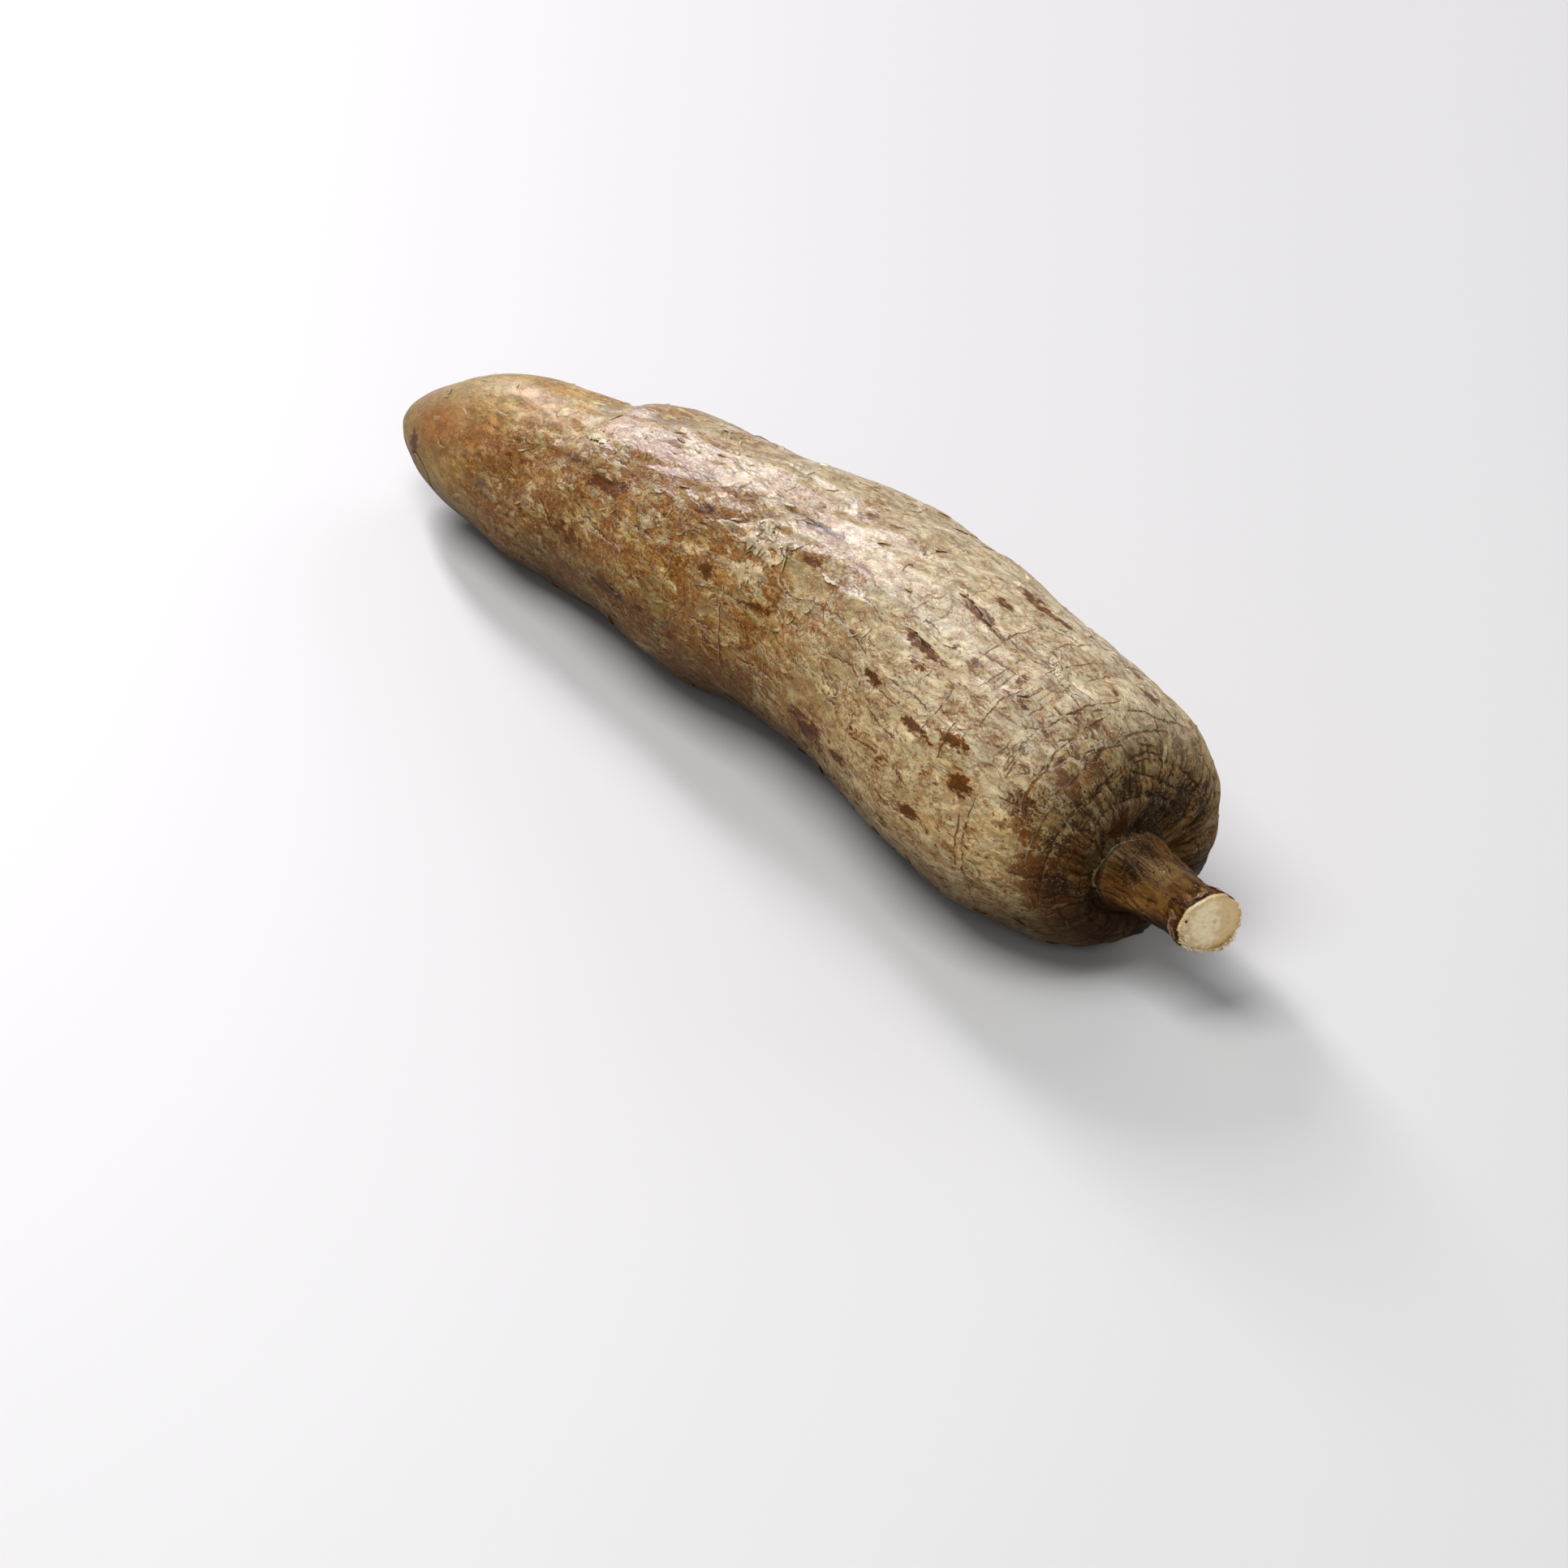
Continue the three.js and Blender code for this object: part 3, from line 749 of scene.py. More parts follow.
# %% Pucker the dimple
PUCKERS = 46
for pucker in range(PUCKERS):
    angle = (pucker + chance.uniform(-0.3, 0.3)) * FULL_TURN / PUCKERS
    inner = SHOULDER_REACH + chance.uniform(3.0, 4.5)
    outer = inner - chance.uniform(4, 15)
    reaches = np.linspace(outer, inner, 10)
    angles = angle + np.cumsum(chance.normal(0, 0.02, 10))
    strength = chance.uniform(0.6, 1.0)
    lay_line(crack_lines, reaches, angles, depth=0.5, width=0.45, lip=0.25, strength=strength)
DIMPLE_RINGS = [(-11.5, 0.8), (-6, 1.0), (-1.0, 0.9), (5.4, 1.0)]
for offset, strength in DIMPLE_RINGS:
    angle = chance.uniform(0, 1)
    for _ in range(5):
        angles = np.arange(angle, angle + chance.uniform(0.6, 1.2), 0.04)
        reaches = SHOULDER_REACH + offset + 0.9 * np.sin(3 * angles + offset)
        reaches = reaches + chance.normal(0, 0.1, len(angles))
        lay_line(ring_lines, reaches, angles, depth=0.45, width=0.6, lip=0.15, strength=strength)
        angle = angles[-1] + chance.uniform(0.02, 0.2)
print(PUCKERS, "puckers run into the dimple")

# %% [markdown]
# The neck is a woody stalk with grooves along it, and its bark is rough. The rest of the skin gets its
# soft unevenness here too, in layers of noise from wide swells to small bumps. One noise alone would
# look like plaster, while several sizes together look grown.

# %% Ridge the neck and roughen the bark
NECK_GROOVES = 15
for groove in range(NECK_GROOVES):
    angle = (groove + chance.uniform(-0.3, 0.3)) * FULL_TURN / NECK_GROOVES
    start = SHOULDER_REACH + chance.uniform(7, 12)
    reaches = np.linspace(start, start + chance.uniform(8, 18), 14)
    angles = angle + 0.03 * (reaches - start) + np.cumsum(chance.normal(0, 0.025, 14))
    strength = chance.uniform(0.4, 1.0)
    lay_line(crack_lines, reaches, angles, depth=0.25, width=0.35, lip=0.18, strength=strength)

wrinkled = (1 - 0.75 * zones["smooth"]) * (1 - zones["neck"])
barky = zones["bark"] * (1 - ease(reach, FULL_REACH - 3, FULL_REACH - 1.4))
UNEVENNESS = [
    (0.28, place_noise, (22, 10, 10), 3, 1 - on_neck),
    (0.34, place_noise, (13, 4.4, 4.4), 4, wrinkled),
    (0.3, creased_noise, (22, 6, 6), 5, wrinkled),
    (0.2, place_noise, (6, 2.4, 2.4), 6, wrinkled),
    (0.12, place_noise, (5, 0.9, 0.9), 7, zones["neck"]),
    (0.35, place_noise, (6, 4, 4), 8, barky),
    (0.14, place_noise, (0.9, 0.9, 0.9), 9, barky),
    (0.35, place_noise, (2, 2, 2), 12, 1 - ease(reach, 3, 9)),
]
for tallest, noise, size, seed, where in UNEVENNESS:
    relief += tallest * noise(smooth_skin, size, seed) * where
print("relief in mm from", round(relief.min(), 2), "to", round(relief.max(), 2))

# %% [markdown]
# Now the grid becomes one closed mesh. Besides its faces it gets a lengthwise unwrap, and the zones
# and lines as named values on its points. The tip closes on a point, and the cut end on a flat fan
# that the cut face later covers.

# %% Build the skin
def finish_piece(name, mesh, material):
    """Puts a mesh in the scene as a piece of the root, smooth, with its finish and its place."""
    for polygon in mesh.polygons:
        polygon.use_smooth = True
    mesh.materials.append(material)
    piece = bpy.data.objects.new(name, mesh)
    scene.collection.objects.link(piece)
    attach(piece, "root")
    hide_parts("cassava_root")
    print(name, "has", sum(len(polygon.vertices) - 2 for polygon in mesh.polygons), "triangles")


skin_points = raise_skin(form + relief) - centre
tip = np.array((TAIL_TIP, SECTIONS[0, 2], SECTIONS[0, 3])) - centre
cut_centre = np.array((CUT_ALONG, NECK_SIDE, NECK_HEIGHT)) - centre


def skin_faces():
    first = 1 + np.arange(len(rows))[:, None] * COLUMNS
    here = np.arange(COLUMNS)
    after = (here + 1) % COLUMNS
    quads = np.stack((first[:-1] + here, first[:-1] + after, first[1:] + after, first[1:] + here), axis=-1)
    end = 1 + len(rows) * COLUMNS
    tail = [(0, 1 + b, 1 + a) for a, b in zip(here, after)]
    last = first[-1, 0]
    cut = [(end, last + a, last + b) for a, b in zip(here, after)]
    return quads.reshape(-1, 4).tolist() + tail + cut


FIELDS = {"zone_" + name: np.clip(values + 0 * reach, 0, 1) for name, values in zones.items()}
for name, lines in (("crack", crack_lines), ("ring", ring_lines)):
    FIELDS[name + "_side"] = lines["side"]
    FIELDS[name + "_presence"] = lines["presence"]
FIELDS["reach_mm"] = reach + 0 * turn
FIELDS["round_x"] = np.cos(turn) + 0 * reach
FIELDS["round_y"] = np.sin(turn) + 0 * reach


def store(mesh, name, values):
    """Keeps one value for each point of a mesh, under a name that the paint can read."""
    layer = mesh.attributes.new(name, "FLOAT", "POINT")
    layer.data.foreach_set("value", np.asarray(values, np.float32))


skin_mesh = bpy.data.meshes.new("root_skin")
all_points = np.vstack((tip, skin_points.reshape(-1, 3), cut_centre))
skin_mesh.from_pydata((all_points * MM).tolist(), [], skin_faces())
for name, values in FIELDS.items():
    store(skin_mesh, name, np.concatenate(([values[0, 0]], values.ravel(), [values[-1, 0]])))


# %% Unwrap the skin lengthwise
def unwrap_skin(mesh):
    """Turn runs across the unwrap and reach runs up it, so that nothing on the barrel is stretched."""
    across = np.concatenate(([0.5], np.tile(np.arange(COLUMNS) / COLUMNS, len(rows)), [0.5]))
    up = np.concatenate(([0], np.repeat(rows / FULL_REACH, COLUMNS), [1]))
    vertex = np.empty(len(mesh.loops), int)
    mesh.loops.foreach_get("vertex_index", vertex)
    u = across[vertex]
    starts = np.empty(len(mesh.polygons), int)
    mesh.polygons.foreach_get("loop_start", starts)
    face = np.repeat(np.arange(len(starts)), np.diff(np.append(starts, len(vertex))))
    highest = np.zeros(len(starts))
    np.maximum.at(highest, face, u)
    crossing = (highest[face] > 0.9) & (u < 0.1)
    u = np.where(crossing, u + 1, u) * COLUMNS / (COLUMNS + 1)
    layer = mesh.uv_layers.new(name="OFBake")
    layer.data.foreach_set("uv", np.column_stack((u, up[vertex] * 0.99 + 0.005)).ravel().astype(np.float32))


unwrap_skin(skin_mesh)
print("skin mesh:", len(skin_mesh.vertices), "points")

# %% [markdown]
# Paint is mixed by nodes. These small helpers keep a recipe short enough to read: each makes one
# node, joins its inputs, and hands back the output to use in the next line.

# %% Helpers for mixing paint
def paint(hexcode):
    """A colour as written for the screen, in the linear values that the shader wants."""
    parts = [int(hexcode[index:index + 2], 16) / 255 for index in (1, 3, 5)]
    return (*[part / 12.92 if part <= 0.04045 else ((part + 0.055) / 1.055) ** 2.4 for part in parts], 1)


class Recipe:
    """The node tree of one finish, with a short call for each kind of node that the finishes use."""

    def __init__(self, name):
        self.material = bpy.data.materials.new(name)
        self.material.use_nodes = True
        self.tree = self.material.node_tree
        place = self.add("ShaderNodeTexCoord").outputs["Object"]
        self.place = self.vector("SCALE", place, Scale=1 / MM)

    def add(self, kind, **settings):
        made = self.tree.nodes.new(kind)
        for key, value in settings.items():
            setattr(made, key, value)
        return made

    def join(self, socket, value):
        """Links an output to a socket, or sets a plain number or colour on the socket itself."""
        if isinstance(value, bpy.types.NodeSocket):
            self.tree.links.new(value, socket)
        else:
            socket.default_value = value

    def finish(self, values):
        """Gives each named socket of the shader its value, and hands back the material."""
        for name, value in values.items():
            self.join(self.tree.nodes["Principled BSDF"].inputs[name], value)
        return self.material

    def vector(self, operation, first, second=None, Scale=None):
        made = self.add("ShaderNodeVectorMath", operation=operation)
        self.join(made.inputs[0], first)
        if second is not None:
            self.join(made.inputs[1], second)
        if Scale is not None:
            self.join(made.inputs["Scale"], Scale)
        return made.outputs["Value" if operation in ("LENGTH", "DOT_PRODUCT") else "Vector"]

    def math(self, operation, *values):
        """One sum on shares. A product may be given any number of values."""
        if operation == "MULTIPLY" and len(values) > 2:
            values = (self.math("MULTIPLY", *values[:-1]), values[-1])
        made = self.add("ShaderNodeMath", operation=operation)
        for socket, value in zip(made.inputs, values):
            self.join(socket, value)
        return made.outputs[0]

    def ease(self, value, low, high, start=0.0, end=1.0):
        """A smooth change from start to end while the value rises from low to high."""
        made = self.add("ShaderNodeMapRange", interpolation_type="SMOOTHSTEP")
        for name, given in (("Value", value), ("From Min", low), ("From Max", high),
                            ("To Min", start), ("To Max", end)):
            self.join(made.inputs[name], given)
        return made.outputs["Result"]

    def value(self, name):
        """A named value of the mesh's points."""
        return self.add("ShaderNodeAttribute", attribute_name=name).outputs["Fac"]

    def counted(self, sizes, shift, at=None):
        """The place, counted in steps of the given mm along each axis."""
        steps = self.vector("MULTIPLY", at or self.place, tuple(1 / size for size in sizes))
        return self.vector("ADD", steps, (shift, shift, shift))

    def noise(self, size, detail=3.0, rough=0.55, twist=0.0, shift=0.0, at=None):
        """Noise whose patches are `size` mm wide. Size may be given for each axis."""
        made = self.add("ShaderNodeTexNoise")
        sizes = size if isinstance(size, tuple) else (size,) * 3
        self.join(made.inputs["Vector"], self.counted(sizes, shift, at))
        for name, given in (("Scale", 1.0), ("Detail", detail), ("Roughness", rough), ("Distortion", twist)):
            self.join(made.inputs[name], given)
        return made.outputs["Fac"]

    def specks(self, sizes, shift, inner, outer):
        """Scattered dots about `sizes` mm apart, solid inside one radius and gone beyond the other."""
        made = self.add("ShaderNodeTexVoronoi", feature="F1")
        self.join(made.inputs["Vector"], self.counted(sizes, shift))
        self.join(made.inputs["Scale"], 1.0)
        return self.ease(made.outputs["Distance"], inner, outer, 1.0, 0.0)

    def warped(self, size, amount):
        """The place, pushed about by noise, so that a regular pattern bends."""
        pushed = self.add("ShaderNodeTexNoise")
        self.join(pushed.inputs["Vector"], self.vector("SCALE", self.place, Scale=1 / size))
        self.join(pushed.inputs["Scale"], 1.0)
        centred = self.vector("SUBTRACT", pushed.outputs["Color"], (0.5, 0.5, 0.5))
        return self.vector("ADD", self.place, self.vector("SCALE", centred, Scale=amount))

    def mix(self, share, first, second, blend="MIX"):
        made = self.add("ShaderNodeMix", data_type="RGBA", blend_type=blend)
        self.join(made.inputs["Factor"], share)
        self.join(made.inputs[6], first)
        self.join(made.inputs[7], second)
        return made.outputs[2]

    def over(self, colour, laid, *shares):
        """A colour laid over another, as thickly as the product of the shares says."""
        return self.mix(self.math("MULTIPLY", *shares) if len(shares) > 1 else shares[0], colour, laid)

    def bump(self, height_mm, strength=1.0):
        made = self.add("ShaderNodeBump")
        made.inputs["Strength"].default_value = strength
        self.join(made.inputs["Height"], height_mm)
        made.inputs["Distance"].default_value = MM
        return made.outputs["Normal"]


print("helpers of a recipe:", [name for name in vars(Recipe) if not name.startswith("_")])

# %% [markdown]
# The skin's colour is built the way it grew. A khaki ground, cream towards the head and orange at
# the tail, lies under film that split into thin layers. Where the film wore off, brown fibres and
# grains show. Patches, cracks, stains and specks go over that. Painted shade darkens the flanks, the
# tip, the hollow and the belly, and painted glints fleck the skin. A painted image would fix the
# detail at one size, and these formulas keep it sharp at any distance.

# %% Colours of the skin
KHAKI = paint("#b9a164")
CREAM = paint("#e6d8b6")
OLIVE = paint("#a38e62")
TAN = paint("#b68d4a")
OCHRE = paint("#9a6324")
ORANGE = paint("#b0743a")
RUST = paint("#713d0c")
BROWN = paint("#50300f")
LINE = paint("#7c4714")
GREY = paint("#6c5a50")
NIGHT = paint("#1d140b")
RIM = paint("#ecdcb4")
GLINT = paint("#f6efdf")
SOIL_AND_SHADE = paint("#36220f")
NECK_DULL, NECK_ORANGE = paint("#96733f"), paint("#a5672e")
FLANK_SHADE = (0.97, 0.85, 0.6, 1)
TIP_SHADE = (0.58, 0.54, 0.47, 1)
LAYERS = 11


def film_layers(recipe, zone, bent):
    """Film in thin layers: the foot, the edge, the tint and the height of the layer at each place."""
    level = recipe.noise((9, 4.4, 4.4), detail=7, rough=0.6, twist=0.5, shift=23, at=bent)
    stack = recipe.math("MULTIPLY", level, LAYERS)
    share, layer = recipe.math("FRACT", stack), recipe.math("FLOOR", stack)
    patchy = recipe.ease(recipe.noise((8, 5, 5), detail=3, shift=29), 0.42, 0.6, 0.1, 1.0)
    calm = recipe.math("MULTIPLY", recipe.ease(zone["smooth"], 0.0, 1.0, 1.0, 0.35),
                       recipe.ease(zone["mottled"], 0.0, 1.0, 0.5, 1.0))
    shown = recipe.math("MULTIPLY", patchy, calm)
    tint = recipe.math("MULTIPLY_ADD", recipe.math("SINE", recipe.math("MULTIPLY", layer, 2.4)), 0.5, 0.5)
    height = recipe.math("ADD", layer, recipe.ease(share, 0.88, 1.0))
    foot, edge = recipe.ease(share, 0.7, 0.95), recipe.ease(share, 0.0, 0.14, 1.0, 0.0)
    return [recipe.math("MULTIPLY", value, shown) for value in (foot, edge, tint, height)]


def ground_colour(recipe, zone, bent, tint):
    """Khaki, cream or orange ground with soft clouds, and the smooth places where skin has peeled."""
    clouds = recipe.noise((15, 7, 7), detail=6, rough=0.62)
    # The cream zone is the head's own paleness together with a painted sheen on the far top.
    ground = recipe.over(KHAKI, CREAM, zone["cream"], recipe.ease(clouds, 0.4, 0.56, 0.62, 1.0))
    tanned = recipe.noise((12, 6, 6), detail=6, rough=0.6, shift=7)
    ground = recipe.over(ground, TAN, zone["mottled"], recipe.ease(tanned, 0.45, 0.53))
    ground = recipe.over(ground, CREAM, tint, 0.5)
    pale = recipe.noise((7, 3.4, 3.4), detail=6, rough=0.62, shift=63, at=bent)
    wrinkled = recipe.ease(zone["smooth"], 0.0, 1.0, 1.0, 0.2)
    ground = recipe.over(ground, CREAM, recipe.ease(pale, 0.53, 0.58, 0.0, 0.55), wrinkled)
    for name, laid, share in (("orange", ORANGE, 0.9), ("peeled", OLIVE, 0.8), ("dimple", OLIVE, 0.75)):
        ground = recipe.over(ground, laid, zone[name], share)
    ground = recipe.over(ground, recipe.mix(zone["red"], NECK_DULL, NECK_ORANGE), zone["neck"])
    shades = recipe.noise((6, 2.8, 2.8), detail=8, rough=0.7, shift=4, at=bent)
    darkest = recipe.math("MULTIPLY_ADD", zone["mottled"], -0.28, 0.86)
    return recipe.vector("SCALE", ground, Scale=recipe.ease(shades, 0.38, 0.62, darkest, 1.2))


print("ground colours are ready, with", LAYERS, "layers of film")


# %% Grains and fibres where the film has worn
def worn_colours(recipe, zone, bent, colour, foot, edge):
    """Ochre under the layers' edges, brown fibres, and rough patches of brown grains and pale crumbs."""
    mottled = zone["mottled"]
    lively = recipe.ease(zone["smooth"], 0.0, 1.0, 1.0, 0.4)
    wild = recipe.math("MULTIPLY", lively, recipe.ease(mottled, 0.0, 1.0, 0.5, 1.0))
    colour = recipe.over(colour, OCHRE, foot, wild, 0.9)
    colour = recipe.over(colour, RIM, edge, 0.55)
    fibre = recipe.noise((5.0, 2.0, 2.0), detail=9, rough=0.74, twist=0.5, shift=11, at=bent)
    colour = recipe.over(colour, OCHRE, recipe.ease(fibre, 0.5, 0.55), wild, 0.85)
    strand = recipe.noise((4.0, 1.5, 1.5), detail=9, rough=0.76, twist=0.7, shift=19, at=bent)
    colour = recipe.over(colour, RUST, recipe.ease(strand, 0.54, 0.58), wild, 0.9)

    limit = recipe.math("MULTIPLY_ADD", mottled, -0.055, 0.56)
    field = recipe.math("SUBTRACT", recipe.noise((13, 7, 7), detail=7, rough=0.66, shift=41), limit)
    worn = recipe.math("MULTIPLY", recipe.ease(field, -0.01, 0.03), wild)
    colour = recipe.over(colour, OCHRE, worn, recipe.ease(mottled, 0.0, 1.0, 0.15, 0.45))
    grain = recipe.noise((1.3, 0.85, 0.85), detail=5, rough=0.68, twist=0.4, shift=47)
    colour = recipe.over(colour, OCHRE, recipe.ease(grain, 0.48, 0.54), worn, 0.85)
    colour = recipe.over(colour, RUST, recipe.ease(grain, 0.55, 0.6), worn, 0.95)
    colour = recipe.over(colour, RIM, recipe.ease(grain, 0.36, 0.41, 1.0, 0.0), worn, 0.5)
    return colour, fibre, strand, recipe.math("MULTIPLY", grain, worn)


def patched(recipe, zone, colour, strand):
    """Brown patches where the outer skin is left, with a ragged dotted edge."""
    strewn = recipe.ease(recipe.noise((11, 7, 7), detail=4, shift=58), 0.5, 0.62, 0.0, 0.24)
    strewn = recipe.math("MULTIPLY", strewn, recipe.ease(zone["smooth"], 0.0, 1.0, 1.0, 0.0))
    ragged = recipe.noise((2.8, 1.4, 1.4), detail=8, rough=0.75, shift=5)
    patchy = recipe.math("MULTIPLY_ADD", recipe.math("SUBTRACT", ragged, 0.52), 4.2,
                         recipe.math("ADD", zone["brown"], strewn))
    colour = recipe.over(colour, OCHRE, recipe.ease(patchy, 0.38, 0.56, 0.0, 0.75))
    core = recipe.mix(recipe.ease(strand, 0.45, 0.55), RUST, BROWN)
    return recipe.over(colour, core, recipe.ease(patchy, 0.6, 0.74, 0.0, 0.95))


# %% Lines, specks and stains over the ground
def line_masks(recipe, name):
    """The dark core and the pale rim of the lines of one kind, as shares from 0 to 1."""
    side, presence = recipe.value(name + "_side"), recipe.value(name + "_presence")
    jagged = recipe.math("SUBTRACT", recipe.noise(1.6, detail=5, rough=0.7), 0.5)
    jagged = recipe.math("MULTIPLY_ADD", jagged, 2.2, side)
    gaps = recipe.ease(recipe.noise(2.4, detail=3, shift=27), 0.38, 0.5, 0.25, 1.0)
    broken = recipe.math("MULTIPLY", presence, gaps)
    core = recipe.math("MULTIPLY", recipe.ease(recipe.math("ABSOLUTE", jagged), 0.1, 0.46, 1.0, 0.0), broken)
    beside, near = recipe.ease(jagged, 0.08, 0.25), recipe.ease(jagged, 0.3, 0.7, 1.0, 0.0)
    return core, recipe.math("MULTIPLY", beside, near, broken)


def lined(recipe, zone, colour, masks):
    """Lines with a dark core and a pale rim, partly painted highlight. The rim fades on cream skin and in
    the dimple.
    """
    inner = recipe.math("MAXIMUM", zone["dimple"], zone["neck"])
    ink = recipe.mix(inner, LINE, BROWN)
    quiet = recipe.math("MAXIMUM", inner, recipe.math("MULTIPLY", zone["cream"], 0.6))
    bright = recipe.ease(quiet, 0.0, 1.0, 1.0, 0.15)
    for core, rim, dark, pale in masks:
        # The pale rim is partly a real pale edge and partly a painted highlight.
        colour = recipe.over(colour, GLINT, rim, bright, pale)
        colour = recipe.over(colour, ink, core, dark)
    return colour


def radial_noise(recipe, spread, length, shift):
    """Noise in strips that run down the dimple and along the neck. Spread is strips round the root."""
    made = recipe.add("ShaderNodeCombineXYZ")
    scales = {"round_x": spread, "round_y": spread, "reach_mm": 1 / length}
    for socket, (name, scale) in zip(made.inputs, scales.items()):
        recipe.join(socket, recipe.math("MULTIPLY", recipe.value(name), scale))
    return recipe.noise(1.0, detail=7, rough=0.7, twist=0.3, shift=shift, at=made.outputs[0])


def dimpled(recipe, zone, colour, strips):
    """Radial strips, red and black stains and painted shade in the dimple, and the lengthwise bark of the
    neck.
    """
    inner = recipe.math("MAXIMUM", zone["dimple"], zone["neck"])
    colour = recipe.over(colour, BROWN, recipe.ease(strips, 0.49, 0.55), inner, 0.8)
    colour = recipe.over(colour, TAN, recipe.ease(strips, 0.34, 0.42, 1.0, 0.0), inner, 0.6)
    blotch = recipe.math("SUBTRACT", recipe.noise(2.4, detail=8, rough=0.74, shift=31), 0.5)
    red = recipe.ease(recipe.math("MULTIPLY_ADD", blotch, 2.6, zone["red"]), 0.4, 0.75)
    colour = recipe.over(colour, recipe.mix(zone["neck"], RUST, TAN), red, 0.8)
    # Painted shade: brown laid in the hollow round the neck's foot.
    colour = recipe.over(colour, BROWN, zone["hollow"], 0.4)
    colour = recipe.over(colour, BROWN, zone["dark"], 0.3)
    soot = recipe.math("MULTIPLY_ADD", zone["dark"], 0.2, recipe.noise(0.7, detail=5, rough=0.66, shift=34))
    sooty = recipe.ease(zone["dark"], 0.05, 0.4)
    colour = recipe.over(colour, NIGHT, recipe.ease(soot, 0.6, 0.65), sooty, 0.75)
    bark = recipe.mix(recipe.ease(radial_noise(recipe, 11.0, 3.0, 8), 0.42, 0.58), NIGHT, OCHRE)
    barked = recipe.math("MULTIPLY_ADD", blotch, 3.0, zone["bark"])
    return recipe.over(colour, bark, recipe.ease(barked, 0.35, 0.65, 0.0, 0.9))


def stained_and_shaded(recipe, zone, colour):
    """Grey bruises, dark specks and painted glints, then painted shade: golden on the flank, dim on the tip,
    and dark brown, partly real, on the belly.
    """
    bruise = recipe.ease(recipe.noise(5, detail=6, rough=0.7, shift=33), 0.35, 0.6)
    colour = recipe.over(colour, GREY, zone["grey"], bruise, 0.65)
    gate = recipe.ease(recipe.noise(6, detail=3, shift=44), 0.48, 0.6)
    wanted = recipe.math("MULTIPLY", gate, recipe.math("MULTIPLY_ADD", zone["peppered"], 0.5, 0.5))
    for size, shift in ((1.5, 2), (0.9, 16)):
        dots = recipe.specks((1.3 * size, size, size), shift, 0.12, 0.22)
        colour = recipe.over(colour, NIGHT, dots, wanted)
    # Painted highlights: small white specks stand for the wax's tiny glints.
    few = recipe.ease(recipe.noise((9, 5, 5), detail=3, shift=50), 0.52, 0.66)
    colour = recipe.over(colour, GLINT, recipe.specks((1.9, 0.8, 0.8), 8, 0.1, 0.2), few, 0.9)
    # Painted shade: the flanks below the crown are darkened with a golden tint.
    colour = recipe.mix(recipe.math("MULTIPLY", zone["flank"], 0.8), colour, FLANK_SHADE, "MULTIPLY")
    # Painted shade: the tail's tip is dimmed.
    colour = recipe.mix(zone["tip"], colour, TIP_SHADE, "MULTIPLY")
    # Painted shade, partly over real brown: the underside and a strip of the lower near flank go dark brown.
    return recipe.over(colour, SOIL_AND_SHADE, zone["shaded"], 0.85)


# %% Relief too fine for the mesh
def finish_skin(finish="waxed_cassava_skin", pale=0.0):
    """The finish of the root. A pale share makes the finish of film that has lifted off it."""
    recipe = Recipe(finish)
    zone = {name: recipe.value("zone_" + name) for name in zones}
    bent = recipe.warped(6.0, 3.0)
    foot, edge, tint, layers = film_layers(recipe, zone, bent)
    colour = ground_colour(recipe, zone, bent, tint)
    colour, fibre, strand, grains = worn_colours(recipe, zone, bent, colour, foot, edge)
    strips = radial_noise(recipe, 13.0, 8.0, 3)
    colour = dimpled(recipe, zone, patched(recipe, zone, colour, strand), strips)
    (crack, crack_rim), (ring, ring_rim) = (line_masks(recipe, name) for name in ("crack", "ring"))
    colour = lined(recipe, zone, colour, [(crack, crack_rim, 0.9, 0.75), (ring, ring_rim, 0.95, 0.55)])
    colour = stained_and_shaded(recipe, zone, recipe.mix(pale, colour, RIM))

    lively = recipe.ease(zone["smooth"], 0.0, 1.0, 1.0, 0.35)
    wrinkle = recipe.noise((6, 2.3, 2.3), detail=8, rough=0.7, twist=0.8, shift=14, at=bent)
    height = recipe.math("MULTIPLY", wrinkle, lively, 1.3)
    carved = recipe.math("MULTIPLY", recipe.math("MAXIMUM", zone["dimple"], zone["neck"]), -2.4)
    for form, millimetres in ((layers, 0.13), (recipe.math("MULTIPLY", fibre, lively), 0.4), (grains, 0.45),
                              (strips, carved), (recipe.noise(0.8, detail=3, rough=0.6, shift=52), 0.12),
                              (crack, -0.25), (crack_rim, 0.12), (ring, -0.2), (ring_rim, 0.12)):
        height = recipe.math("MULTIPLY_ADD", form, millimetres, height)
    return recipe.finish({
        "Base Color": colour,
        "Roughness": recipe.math("MULTIPLY_ADD", recipe.noise(3, detail=4, shift=70), 0.3, 0.36),
        "Normal": recipe.bump(height),
        "Coat Normal": recipe.bump(height, 0.22),
        "Coat Weight": recipe.ease(zone["rubbed"], 0.0, 1.0, 0.6, 0.06),
        "Coat Roughness": 0.28,
        "Specular IOR Level": 0.06,
    })


finish_piece("root_skin", skin_mesh, finish_skin())

# %% [markdown]
# Thin things stand off the skin: film that has lifted in flakes, torn bark round the neck's cut
# end, and fibres at the rim of the cut. Hair or particles would vanish in the exported model, so
# each is a small closed sheet, laid along a line on the skin and lifted at one edge.

# %% Find places on the finished skin
def skin_directions():
    """The outward direction at every point of the smooth form."""
    lengthwise = np.gradient(smooth_skin, axis=0)
    round_it = np.roll(smooth_skin, -1, axis=1) - np.roll(smooth_skin, 1, axis=1)
    outward = np.cross(round_it, lengthwise)
    return outward / np.maximum(np.linalg.norm(outward, axis=-1, keepdims=True), 1e-9)


outward = skin_directions()


